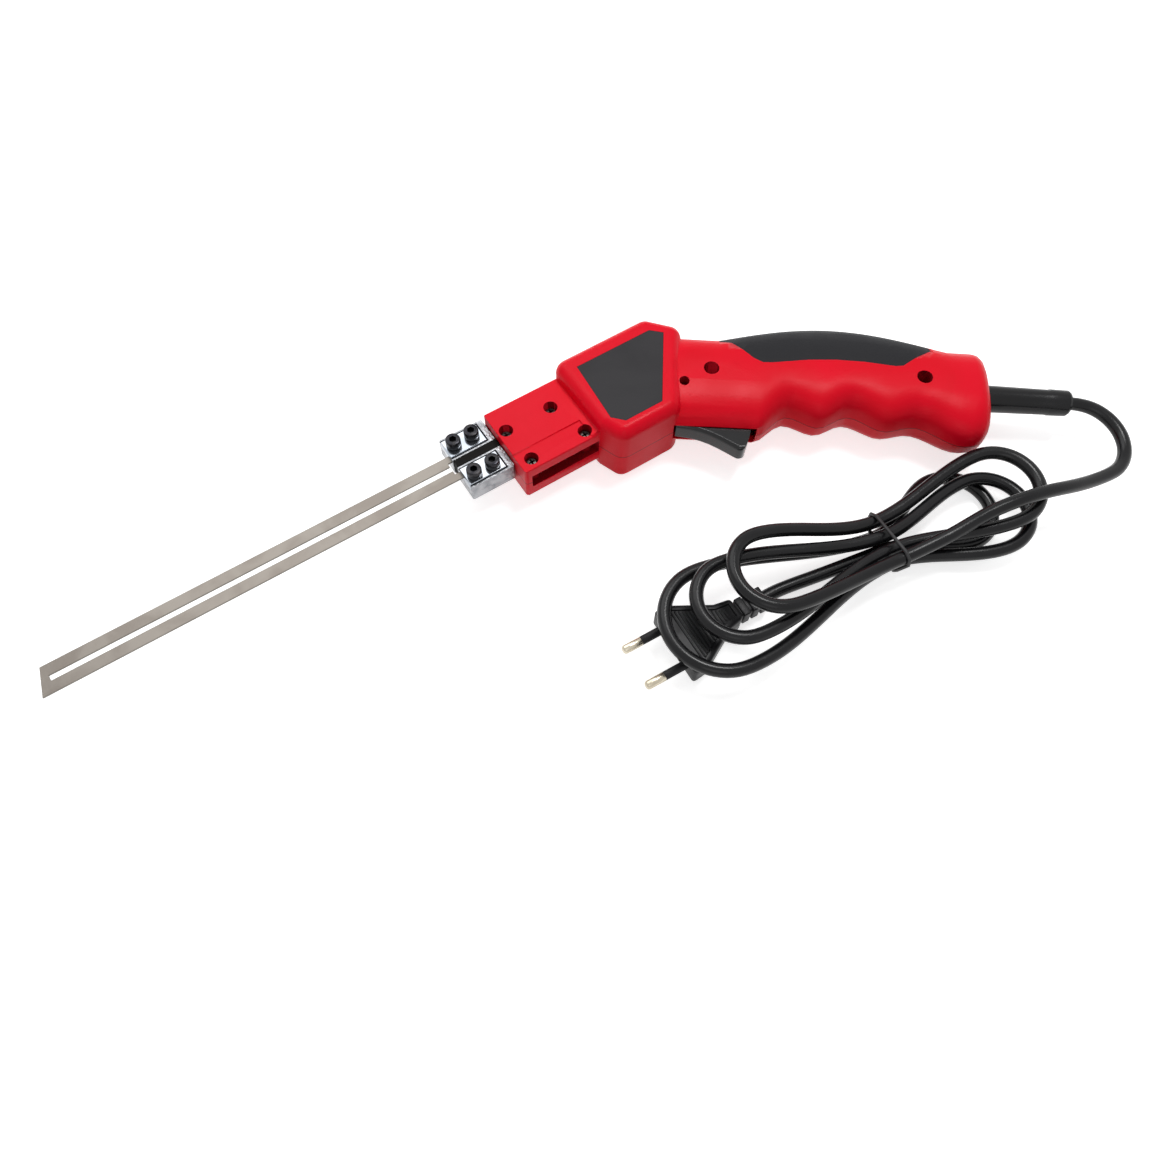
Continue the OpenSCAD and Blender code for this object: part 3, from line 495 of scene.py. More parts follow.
POLISHED_PLATE = Finish(
    "polished_plate", linear(176, 179, 184), linear(150, 157, 166), 0.06, 0.08,
    metallic=1.0, marks_scale=90.0, grain_depth=0.000002,
)
CLAMP_SCREW = Finish(
    "clamp_screw", linear(38, 38, 42), linear(56, 55, 56), 0.24, 0.16, metallic=1.0, marks_scale=300.0,
)
BLADE_STEEL = Finish(
    "blade_steel", linear(120, 115, 109), linear(114, 108, 102), 0.34, 0.06,
    metallic=1.0, marks_scale=60.0, grain_scale=2200.0, grain_depth=0.000012, brushed=True,
)
CORD_BLACK = Finish(
    "cord_black", linear(16, 16, 18), linear(20, 20, 22), 0.2, 0.1,
    specular=0.25, marks_scale=60.0, grain_scale=700.0, grain_depth=0.00001,
)
WIRE_JACKET = Finish("wire_jacket", linear(70, 84, 150), linear(62, 74, 134), 0.45)
TIE_BLACK = Finish("tie", linear(16, 16, 18), linear(24, 24, 26), 0.45)
PLUG_BLACK = Finish(
    "plug_black", linear(18, 18, 20), linear(24, 24, 26), 0.36, 0.14,
    specular=0.2, marks_scale=80.0, grain_scale=1100.0,
)
PIN_METAL = Finish(
    "pin_metal", linear(198, 190, 172), linear(184, 174, 154), 0.24, 0.06, metallic=1.0, marks_scale=120.0,
)


def put(name: str, data: bpy.types.ID) -> Piece:
    """Makes an object of its data and puts it in the scene.

    Args:
        name: the object's name.
        data: its mesh, curve, lamp or camera.

    Returns:
        The new object.
    """
    made = bpy.data.objects.new(name, data)
    bpy.context.scene.collection.objects.link(made)
    return made


def new_piece(name: str, bm: Shape, finish: Finish, angle: float = 35.0, scale: float = MM) -> Piece:
    """Makes an object of a finished bmesh.

    Args:
        name: the piece's name.
        bm: its shape, which is freed.
        finish: its finish.
        angle: sharpest bend in degrees that is shaded smooth.
        scale: factor from the shape's unit to metres.

    Returns:
        The new object.
    """
    bmesh.ops.scale(bm, vec=(scale, scale, scale), verts=bm.verts)
    mesh = bpy.data.meshes.new(name)
    bm.to_mesh(mesh)
    bm.free()
    mesh.shade_smooth()
    mesh.set_sharp_from_angle(angle=math.radians(angle))
    mesh.materials.append(finish.material())
    return put(name, mesh)


def even(piece: Piece) -> Piece:
    """Gives a piece normals that keep its large faces flat.

    Args:
        piece: the piece.

    Returns:
        The same piece.
    """
    weights = piece.modifiers.new("even normals", "WEIGHTED_NORMAL")
    weights.keep_sharp = True
    weights.weight = NORMAL_WEIGHT
    return piece


def set_piece(piece: Piece, body: str, slot: str, *nodes: str) -> Piece:
    """Puts a piece on its body, in the place of its solids.

    Args:
        piece: the piece.
        body: the body that carries it.
        slot: the record's material slot; not used.
        nodes: the solids that it stands for.

    Returns:
        The same piece.
    """
    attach(piece, body)
    if nodes:
        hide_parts(*nodes)
    LOG.info("%s rides on %s in place of %s", piece.name, body, ", ".join(nodes) or "nothing")
    return piece


def merged_copy(node: str, flat_angle: float = FLAT_ANGLE) -> Shape:
    """Copies a solid's mesh and joins its loose triangles.

    Args:
        node: the solid's name.
        flat_angle: bend in degrees up to which facets are joined into one, or 0 to keep them all.

    Returns:
        The joined copy, in metres.
    """
    bm = bmesh.new()
    bm.from_mesh(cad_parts[node].data)
    bmesh.ops.remove_doubles(bm, verts=bm.verts, dist=MERGE_METRES)
    if flat_angle > 0:
        bmesh.ops.dissolve_limit(bm, angle_limit=math.radians(flat_angle), verts=bm.verts, edges=bm.edges)
    return bm


def sharp_edges(bm: Shape, degrees: float) -> list[Edge]:
    """Lists the edges whose faces meet at more than an angle."""
    limit = math.radians(degrees)
    return [edge for edge in bm.edges if len(edge.link_faces) == 2 and edge.calc_face_angle(0.0) > limit]


def soften(
    bm: Shape, edges: Sequence[Edge], width: float, segments: int = 3, full: bool = False,
) -> None:
    """Rounds edges.

    Args:
        bm: the shape.
        edges: the edges to round.
        width: width of the rounding.
        segments: number of strips across it.
        full: whether the width holds even where short edges meet.
    """
    bmesh.ops.bevel(
        bm, geom=list(edges), offset=width, offset_type="OFFSET", segments=segments,
        profile=0.5, affect="EDGES", material=-1, clamp_overlap=not full,
    )
    bmesh.ops.remove_doubles(bm, verts=bm.verts, dist=width * TINY_SHARE)
    bmesh.ops.dissolve_degenerate(bm, edges=bm.edges, dist=width * TINY_SHARE)


def lathe(profile: Sequence[Flat], place: Matrix, steps: int = 48) -> Shape:
    """Turns a profile round the local Z axis.

    Args:
        profile: radius and height of each corner, from one end of the axis to the other.
        place: where the shape goes.
        steps: number of steps in the turn.

    Returns:
        The turned shape.
    """
    bm = bmesh.new()
    corners = [bm.verts.new((radius, 0.0, height)) for radius, height in profile]
    edges = [bm.edges.new(pair) for pair in zip(corners, corners[1:])]
    bmesh.ops.spin(
        bm, geom=corners + edges, cent=(0, 0, 0), axis=(0, 0, 1),
        angle=math.tau, steps=steps, use_merge=True, use_duplicate=False,
    )
    bmesh.ops.remove_doubles(bm, verts=bm.verts, dist=MERGE_MM)
    bmesh.ops.recalc_face_normals(bm, faces=bm.faces)
    bmesh.ops.transform(bm, matrix=place, verts=bm.verts)
    return bm


def along(start: Vector, direction: Vector) -> Matrix:
    """Gives the placement that turns the local Z axis along a direction."""
    return Matrix.Translation(start) @ direction.to_track_quat("Z", "Y").to_matrix().to_4x4()


def join_shapes(shapes: Sequence[Shape]) -> Shape:
    """Puts several shapes into one and frees them.

    Args:
        shapes: the shapes.

    Returns:
        One shape that holds them all.
    """
    bm = bmesh.new()
    holder = bpy.data.meshes.new("holder")
    for shape in shapes:
        shape.to_mesh(holder)
        shape.free()
        bm.from_mesh(holder)
    bpy.data.meshes.remove(holder)
    return bm


def block(low: Point, high: Point, width: float, segments: int = 3) -> Shape:
    """Makes a box with rounded edges.

    Args:
        low: its lowest corner.
        high: its highest corner.
        width: width of the rounding.
        segments: number of strips across the rounding.

    Returns:
        The box.
    """
    bm = bmesh.new()
    bmesh.ops.create_cube(bm, size=1.0)
    size = Vector(high) - Vector(low)
    middle = (Vector(high) + Vector(low)) / 2
    bmesh.ops.scale(bm, vec=size, verts=bm.verts)
    bmesh.ops.translate(bm, vec=middle, verts=bm.verts)
    if width > 0:
        soften(bm, bm.edges, width, segments)
    return bm


class Recess(Enum):
    """Drive recesses in screw heads."""

    HEX = "hex"
    CROSS = "cross"

    def reach(self, angle: float, size: float) -> float:
        """Distance of the recess's outline from its middle.

        Args:
            angle: direction in radians.
            size: half the hexagon's width over its corners, or the length of an arm of the cross.

        Returns:
            The distance.
        """
        if self is Recess.HEX:
            turn = math.radians(60)
            return size * math.cos(turn / 2) / math.cos((angle % turn) - turn / 2)
        turn = math.radians(90)
        side = abs((angle + turn / 2) % turn - turn / 2)
        arm = size * CROSS_ARM
        return size / math.cos(side) if math.tan(side) < arm / size else arm / math.sin(side)


@dataclass
class ScrewHead:
    """A turned screw head with a drive recess.

    Attributes:
        radius: radius of the head.
        height: height of the head.
        rounding: how far the top edge is drawn in.
        recess: shape of the drive recess.
        recess_size: size of the recess.
        recess_depth: depth of the recess.
        knurl: depth of the ridges on the side.
        shank: radius and length of the shank.
        tip: share of the shank's radius that is left at its tip, and the tip's length.
        lip: how far the underside is drawn in, and the height of that edge.
        crown: shares of the rounding at the ring halfway round it, inwards and down.
        steps: corners round the head.
    """

    radius: float
    height: float
    rounding: float
    recess: Recess
    recess_size: float
    recess_depth: float
    knurl: float
    shank: Flat
    tip: Flat = (0.8, 0.5)
    lip: Flat = (0.2, 0.25)
    crown: Flat = (0.4, 0.3)
    steps: int = 48

    def loop(self, bm: Shape, radius: Callable[[int], float], z: float) -> list[Edge]:
        """Adds one ring of edges.

        Args:
            bm: the shape.
            radius: distance of each corner from the axis.
            z: height of the ring.

        Returns:
            The ring's edges.
        """
        made = bmesh.ops.create_circle(bm, cap_ends=False, segments=self.steps, radius=1.0)["verts"]
        for corner in made:
            direction = Vector((corner.co.x, corner.co.y, 0.0)).normalized()
            index = round(self.turn(direction) * self.steps / math.tau)
            corner.co = direction * radius(index) + Vector((0, 0, z))
        return list({edge for corner in made for edge in corner.link_edges})

    @staticmethod
    def turn(direction: Vector) -> float:
        """Angle of a direction round the axis, from 0 to a full turn."""
        return math.atan2(direction.y, direction.x) % math.tau

    def build(self, place: Point) -> Shape:
        """Builds the screw with its head's underside at a place.

        Args:
            place: middle of the head's underside.

        Returns:
            The screw.
        """
        bm = bmesh.new()
        step = math.tau / self.steps

        def plain(radius: float) -> Callable[[int], float]:
            """A round ring."""
            return lambda index: radius

        def ridged(index: int) -> float:
            """A ring with ridges."""
            return self.radius - (self.knurl if index % 2 else 0.0)

        def driven(index: int) -> float:
            """The outline of the recess."""
            return self.recess.reach(index * step, self.recess_size)

        top = self.height
        shank, length = self.shank
        inward, down = (share * self.rounding for share in self.crown)
        rings = [
            self.loop(bm, plain(shank * self.tip[0]), -length),
            self.loop(bm, plain(shank), -length + self.tip[1]),
            self.loop(bm, plain(shank), 0.0),
            self.loop(bm, plain(self.radius - self.lip[0]), 0.0),
            self.loop(bm, ridged, self.lip[1]),
            self.loop(bm, ridged, top - self.rounding),
            self.loop(bm, plain(self.radius - inward), top - down),
            self.loop(bm, plain(self.radius - self.rounding), top),
            self.loop(bm, driven, top),
            self.loop(bm, driven, top - self.recess_depth),
        ]
        for first, second in zip(rings, rings[1:]):
            bmesh.ops.bridge_loops(bm, edges=first + second)
        for ring in (rings[0], rings[-1]):
            bmesh.ops.contextual_create(bm, geom=ring)
        bmesh.ops.recalc_face_normals(bm, faces=bm.faces)
        bmesh.ops.translate(bm, vec=Vector(place), verts=bm.verts)
        return bm


@dataclass
class Casing:
    """The two moulded halves, the rubber pads, the side panel and the screws between them.

    Attributes:
        smooth_angle: sharpest bend that is shaded smooth.
        flat_angle: bend up to which facets are joined into one.
        sharp_angle: least bend of an edge that is rounded.
        nose_edge: rounding of the nose's outer edges, in metres.
        nose_front: place of the nose's front face.
        nose_rear: place where the nose runs into the housing.
        nose_belly: place of the nose's belly edge.
        nose_half_t: least height of its outer edges from the parting line.
        pad_edge: rounding of the rubber pads' edges, in metres.
        panel_edge: rounding of the side panel's edge, in metres.
        panel_angles: least bend of its edges that are rounded, and sharpest one that is shaded smooth.
        nose_seat: height of the screw heads' undersides in the nose.
        handle_seat: height of the screw heads' undersides in the handle.
    """

    smooth_angle: float = 38.0
    flat_angle: float = 0.6
    sharp_angle: float = 50.0
    nose_edge: float = 0.001
    nose_front: float = -64.3
    nose_rear: float = -30.0
    nose_belly: float = -23.3
    nose_half_t: float = 9.0
    pad_edge: float = 0.0005
    panel_edge: float = 0.00025
    panel_angles: Flat = (30.0, 40.0)
    nose_seat: float = 22.5
    handle_seat: float = 20.5

    def on_nose_edge(self, corner: Vector) -> bool:
        """Tells whether a corner lies on the nose's outer edges at its front or along its belly.

        Args:
            corner: the corner's place in metres.

        Returns:
            Whether it does.
        """
        x, y, z = corner / MM
        outer = x < self.nose_front or (y < self.nose_belly and x < self.nose_rear)
        return outer and abs(z - MID_Z) > self.nose_half_t

    def halves(self) -> None:
        """Dresses the casings and pads with rounded edges and smooth shading over their facets."""
        for node, finish in (
            ("left_casing", CASING), ("right_casing", CASING),
            ("left_grip_pad", GRIP_RUBBER), ("right_grip_pad", GRIP_RUBBER),
        ):
            bm = merged_copy(node, self.flat_angle)
            edges = sharp_edges(bm, self.sharp_angle)
            if finish is CASING:
                edges = [edge for edge in edges if all(self.on_nose_edge(corner.co) for corner in edge.verts)]
                soften(bm, edges, self.nose_edge)
            else:
                soften(bm, edges, self.pad_edge, 2)
            piece = even(new_piece(node + "_shell", bm, finish, self.smooth_angle, 1.0))
            set_piece(piece, TOOL, finish.name, node)

    def panel(self) -> None:
        """Rounds the side panel's edge."""
        bm = merged_copy("side_panel")
        sharp, smooth = self.panel_angles
        soften(bm, sharp_edges(bm, sharp), self.panel_edge, 2)
        set_piece(even(new_piece("side_panel_plate", bm, PANEL, smooth, 1.0)), TOOL, "panel", "side_panel")

    def screws(self) -> None:
        """Builds the cross-head screws in their sinks."""
        screw = ScrewHead(
            radius=2.5, height=1.6, rounding=0.7, recess=Recess.CROSS, recess_size=1.5, recess_depth=1.0,
            knurl=0.0, shank=(1.4, 12.0),
        )
        seats = [(x, y, self.nose_seat) for x, y in NOSE_SCREWS]
        seats += [(x, y, self.handle_seat) for x, y in HANDLE_SCREWS]
        shapes = join_shapes([screw.build(seat) for seat in seats])
        set_piece(new_piece("cross_head_screws", shapes, SCREW_STEEL), TOOL, "screw_steel", "casing_screws")

    def build(self) -> None:
        """Builds all of the casing's pieces."""
        self.halves()
        self.panel()
        self.screws()


@dataclass
class Trigger:
    """The trigger with rounded edges, and the spring behind it.

    Attributes:
        edge: rounding of its edges, in metres.
        finger_edge: rounding of the edges along the finger's face, in metres.
        sharp_angle: least bend of an edge that is rounded.
        smooth_angle: sharpest bend that is shaded smooth.
        side_share: least share of a side's normal that points across the tool.
        front_share: least share of the finger face's normal that points out of the handle.
        spring_end: the spring's fixed end, along and across the handle; not used.
        spring_keep: share of the spring's length that is left at the end of the pull; not used.
        spring_angle: sharpest bend of the spring that is shaded smooth.
    """

    edge: float = 0.0006
    finger_edge: float = 0.0018
    sharp_angle: float = 40.0
    smooth_angle: float = 50.0
    side_share: float = 0.9
    front_share: float = 0.6
    spring_end: Flat = (56.0, -6.0)
    spring_keep: float = 0.44
    spring_angle: float = 60.0

    def spring(self) -> None:
        """Copies the spring with smooth shading, as a piece with its own mesh."""
        coil = merged_copy("trigger_spring", 0.0)
        piece = new_piece("return_spring", coil, SCREW_STEEL, self.spring_angle, 1.0)
        set_piece(piece, TOOL, "screw_steel", "trigger_spring")
        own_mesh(piece)

    def is_finger_edge(self, edge: Edge) -> bool:
        """Tells whether an edge lies between a side of the trigger and the face that the finger pulls.

        Args:
            edge: the edge.

        Returns:
            Whether it does.
        """
        out = in_handle(0.0, -1.0, 0.0).normalized()
        beside = [abs(face.normal.z) > self.side_share for face in edge.link_faces]
        ahead = [face.normal.dot(out) > self.front_share for face in edge.link_faces]
        return any(beside) and any(ahead)

    def build(self) -> None:
        """Rounds the trigger's edges and sets its spring."""
        self.spring()
        bm = merged_copy("trigger")
        front = [edge for edge in sharp_edges(bm, self.sharp_angle) if self.is_finger_edge(edge)]
        soften(bm, front, self.finger_edge, 4, True)
        soften(bm, sharp_edges(bm, self.sharp_angle), self.edge)
        piece = even(new_piece("trigger_lever", bm, TRIGGER, self.smooth_angle, 1.0))
        set_piece(piece, "trigger_body", "trigger", "trigger")


@dataclass
class Clamps:
    """The plated blocks, their polished plates, the screws, the strip between them and the blade.

    Attributes:
        block_edge: rounding of a block's edges, in metres.
        corner_edge: rounding of a block's upright corners, in metres.
        corner_height: least height of an upright corner.
        rear_x: place along the blade behind which corners are rear ones.
        outer_y: distance from the blade's line past which corners are outer ones.
        rim_width: width of the sunk rim round a plate's top, in metres.
        rim_drop: depth of that rim, in metres.
        plate_edge: rounding of a plate's edges, in metres.
        blade_edge: rounding of the blade's edges, in metres.
        sharp_angle: bend past which an edge is rounded, and up to which one is shaded smooth.
        screw_x: places of the screws along the blade.
        screw_y: distance of the screws from the blade's line.
        seat_z: height of the plates' top.
    """

    block_edge: float = 0.0006
    corner_edge: float = 0.0016
    corner_height: float = 8.0
    rear_x: float = -70.0
    outer_y: float = 12.0
    rim_width: float = 0.00045
    rim_drop: float = 0.0008
    plate_edge: float = 0.0002
    blade_edge: float = 0.00012
    sharp_angle: float = 50.0
    screw_x: Flat = (-82.45, -73.34)
    screw_y: float = 9.21
    seat_z: float = 22.5

    def is_corner(self, edge: Edge) -> bool:
        """Tells whether an edge is an upright corner at the rear or the outer side of a block.

        Args:
            edge: the edge.

        Returns:
            Whether it is.
        """
        low, high = (corner.co / MM for corner in edge.verts)
        upright = abs(high.z - low.z) > self.corner_height
        return upright and (max(low.x, high.x) > self.rear_x or abs(low.y) > self.outer_y)

    def rebate(self, bm: Shape) -> None:
        """Sinks the rim of a plate's top, so that a dark line shows between it and its tray.

        Args:
            bm: the plate's shape, in metres.
        """
        top = max(corner.co.z for corner in bm.verts)
        near = top - self.rim_drop / 2
        flats = [face for face in bm.faces if all(corner.co.z > near for corner in face.verts)]
        ring = bmesh.ops.inset_region(
            bm, faces=flats, thickness=self.rim_width, depth=0.0, use_even_offset=True,
        )
        raised = {corner for face in flats for corner in face.verts}
        rim = {corner for face in ring["faces"] for corner in face.verts} - raised
        bmesh.ops.translate(bm, vec=(0.0, 0.0, -self.rim_drop), verts=list(rim))

    def edged(
        self, node: str, name: str, finish: Finish, edge: float, body: str = TOOL, slot: Optional[str] = None,
    ) -> None:
        """Rounds a solid's sharp edges.

        Args:
            node: the solid.
            name: the new piece's name.
            finish: its finish.
            edge: width of the rounding, in metres.
            body: the body that carries it.
            slot: the record's slot, where it isn't the finish's name.
        """
        bm = merged_copy(node)
        if finish is PLATED_METAL:
            corners = [line for line in sharp_edges(bm, self.sharp_angle) if self.is_corner(line)]
            soften(bm, corners, self.corner_edge, 4)
        if finish is POLISHED_PLATE:
            self.rebate(bm)
        soften(bm, sharp_edges(bm, self.sharp_angle), edge, 2)
        piece = even(new_piece(name, bm, finish, self.sharp_angle, 1.0))
        set_piece(piece, body, slot or finish.name, node)

    def build(self) -> None:
        """Builds the clamps and the blade."""
        for side in ("upper", "lower"):
            node, jaw = side + "_clamp", side + "_jaw"
            self.edged(node + "_block", jaw, PLATED_METAL, self.block_edge)
            self.edged(node + "_plate", jaw + "_plate", POLISHED_PLATE, self.plate_edge, slot="plated_metal")
        self.edged("bus_insulator", "insulating_strip", INSULATOR, self.plate_edge)
        self.edged("blade", "blade_strip", BLADE_STEEL, self.blade_edge, "blade_body")
        screw = ScrewHead(
            radius=3.4, height=4.0, rounding=0.5, recess=Recess.HEX, recess_size=1.75, recess_depth=2.4,
            knurl=0.12, shank=(2.0, 8.2),
        )
        for number in range(4):
            place = (self.screw_x[number % 2], self.screw_y * (1 if number < 2 else -1), self.seat_z)
            node = f"clamp_screw_{number + 1}"
            piece = new_piece(f"cap_screw_{number + 1}", screw.build(place), CLAMP_SCREW)
            set_piece(piece, node + "_body", "clamp_screw", node)


@dataclass
class CordRoute:
    """The way the mains cord lies, from the sleeve through the tied hank to the plug.

    Attributes:
        sleeve_end: end of the sleeve along the handle.
        diameter: the cord's diameter.
        waist: middle of the hank.
        angle: direction of the hank in degrees.
        passes: distance across the waist and height of each pass.
        loops: side, reach, end radius, shift of the end and height of the end of each loop.
        start: first points of the hank, along, across and up.
        tail: last points of the hank, along, across and up.
        bend: straight start, radius and turn in degrees of the bend behind the sleeve.
        bend_z: heights along the bend.
        lead: points of the free stretch behind the bend.
        plug_end: the cord's end of the plug.
        plug_z: height of the plug's axis.
        arm_steps: points on each arm of a loop.
        end_steps: steps round the end of a loop.
        fill: points between two points of the route.
        smoothings: rounds of smoothing along the filled route.
    """

    sleeve_end: float = 206.0
    diameter: float = 6.0
    waist: Flat = (52.0, -130.0)
    angle: float = 170.5
    passes: tuple[Flat, ...] = (
        (-10.4, 16), (11, 12.2), (-3.4, 12.2), (3.2, 12.2), (-6.8, 5.4), (6.8, 5.4), (0, 5.4),
    )
    loops: tuple[tuple[float, float, float, float, float], ...] = (
        (1, 74, 18, 3, 27), (-1, 75, 18, 3, 17.4), (1, 92, 18, -1, 20.4),
        (-1, 68, 18, -4, 10.2), (1, 107, 24, -4, 15.6), (-1, 58, 18, 5.5, 3.2),
    )
    start: tuple[Point, ...] = ((-18, -10.4, 19.2), (-12, -10.4, 17.8))
    tail: tuple[Point, ...] = ((0, 0, 5.4), (20, 0, 5.5), (40, 0.5, 5.9), (52, 0.9, 6))
    bend: Point = (4.0, 19.5, 150.0)
    bend_z: tuple[float, ...] = (17.4, 17.0, 16.3, 15.6, 15.0, 14.6, 14.5, 14.8, 15.6)
    lead: tuple[Point, ...] = (
        (142.5, -156.6, 18.2), (130, -154.4, 22), (119, -151.5, 24.4), (108, -148.8, 24.8),
        (98, -146.4, 23.6), (88, -144.8, 22),
    )
    plug_end: Flat = PLUG_END
    plug_z: float = PLUG_Z
    arm_steps: int = 6
    end_steps: int = 8
    fill: int = 4
    smoothings: int = 6

    @staticmethod
    def ease(share: float) -> float:
        """Eases a share from 0 to 1 at both ends."""
        return share * share * (3 - 2 * share)

    @staticmethod
    def mix(first: float, second: float, share: float) -> float:
        """Mixes two numbers."""
        return first + (second - first) * share

    def hank_place(self, point: Point) -> Vector:
        """Turns a point along and across the hank into its place."""
        turn = math.radians(self.angle)
        return Vector((
            self.waist[0] + point[0] * math.cos(turn) + point[1] * math.sin(turn),
            self.waist[1] + point[0] * math.sin(turn) - point[1] * math.cos(turn),
            point[2],
        ))

    def loop(self, index: int) -> list[Vector]:
        """Gives the points of one loop, from one pass of the waist to the next.

        Args:
            index: the loop's place in the hank.

        Returns:
            Its points.
        """
        side, reach, radius, shift, end_z = self.loops[index]
        first, second = self.passes[index], self.passes[index + 1]
        arm, up = reach - radius, -side
        flat: list[Point] = []
        for step in range(self.arm_steps):
            share = step / self.arm_steps
            flat.append((arm * share, self.mix(first[0], shift + up * radius, self.ease(share)), first[1]))
        for step in range(self.end_steps + 1):
            turn = math.pi * step / self.end_steps
            flat.append((
                arm + radius * math.sin(turn), shift + up * radius * math.cos(turn),
                self.mix(first[1], second[1], step / self.end_steps),
            ))
        for step in range(1, self.arm_steps):
            share = 1 - step / self.arm_steps
            flat.append((arm * share, self.mix(second[0], shift - up * radius, self.ease(share)), second[1]))
        return [
            self.hank_place((side * x, y, self.mix(z, end_z, self.ease(x / reach)))) for x, y, z in flat
        ]

    def bend_points(self) -> list[Vector]:
        """Gives the sleeve's end and the bend behind it, in which the cord turns back to the hank.

        Returns:
            The points.
        """
        straight, radius, turn = self.bend
        made = [in_handle(self.sleeve_end, AXIS_V, MID_Z)]
        for step, z in enumerate(self.bend_z):
            angle = math.radians(turn) * step / (len(self.bend_z) - 1)
            u = self.sleeve_end + straight + radius * math.sin(angle)
            v = AXIS_V - radius * (1 - math.cos(angle))
            made.append(in_handle(u, v, z))
        return made

    def points(self) -> list[Vector]:
        """Gives the whole route, from the sleeve to the plug.

        Returns:
            The points.
        """
        hank = [self.hank_place(point) for point in self.start]
        for index in range(len(self.loops)):
            hank += self.loop(index)
        hank += [self.hank_place(point) for point in self.tail]
        hank.append(Vector((self.plug_end[0], self.plug_end[1], self.plug_z)))
        before = hank[0] + self.diameter * (hank[0] - hank[1]).normalized()
        return self.bend_points() + [Vector(point) for point in self.lead] + [before] + hank

    def smooth_points(self) -> list[Vector]:
        """Fills the route with points on one smooth curve through it.

        Returns:
            The close points.
        """
        route = self.points()
        ends = [2 * route[0] - route[1]] + route + [2 * route[-1] - route[-2]]
        close: list[Vector] = []
        for before, first, second, after in zip(ends, ends[1:], ends[2:], ends[3:]):
            for step in range(self.fill):
                share = step / self.fill
                close.append(0.5 * (
                    2 * first + (second - before) * share
                    + (2 * before - 5 * first + 4 * second - after) * share ** 2
                    + (3 * first - before - 3 * second + after) * share ** 3
                ))
        close.append(route[-1])
        for _ in range(self.smoothings):
            close[1:-1] = [0.25 * (a + c) + 0.5 * b for a, b, c in zip(close, close[1:], close[2:])]
        return close


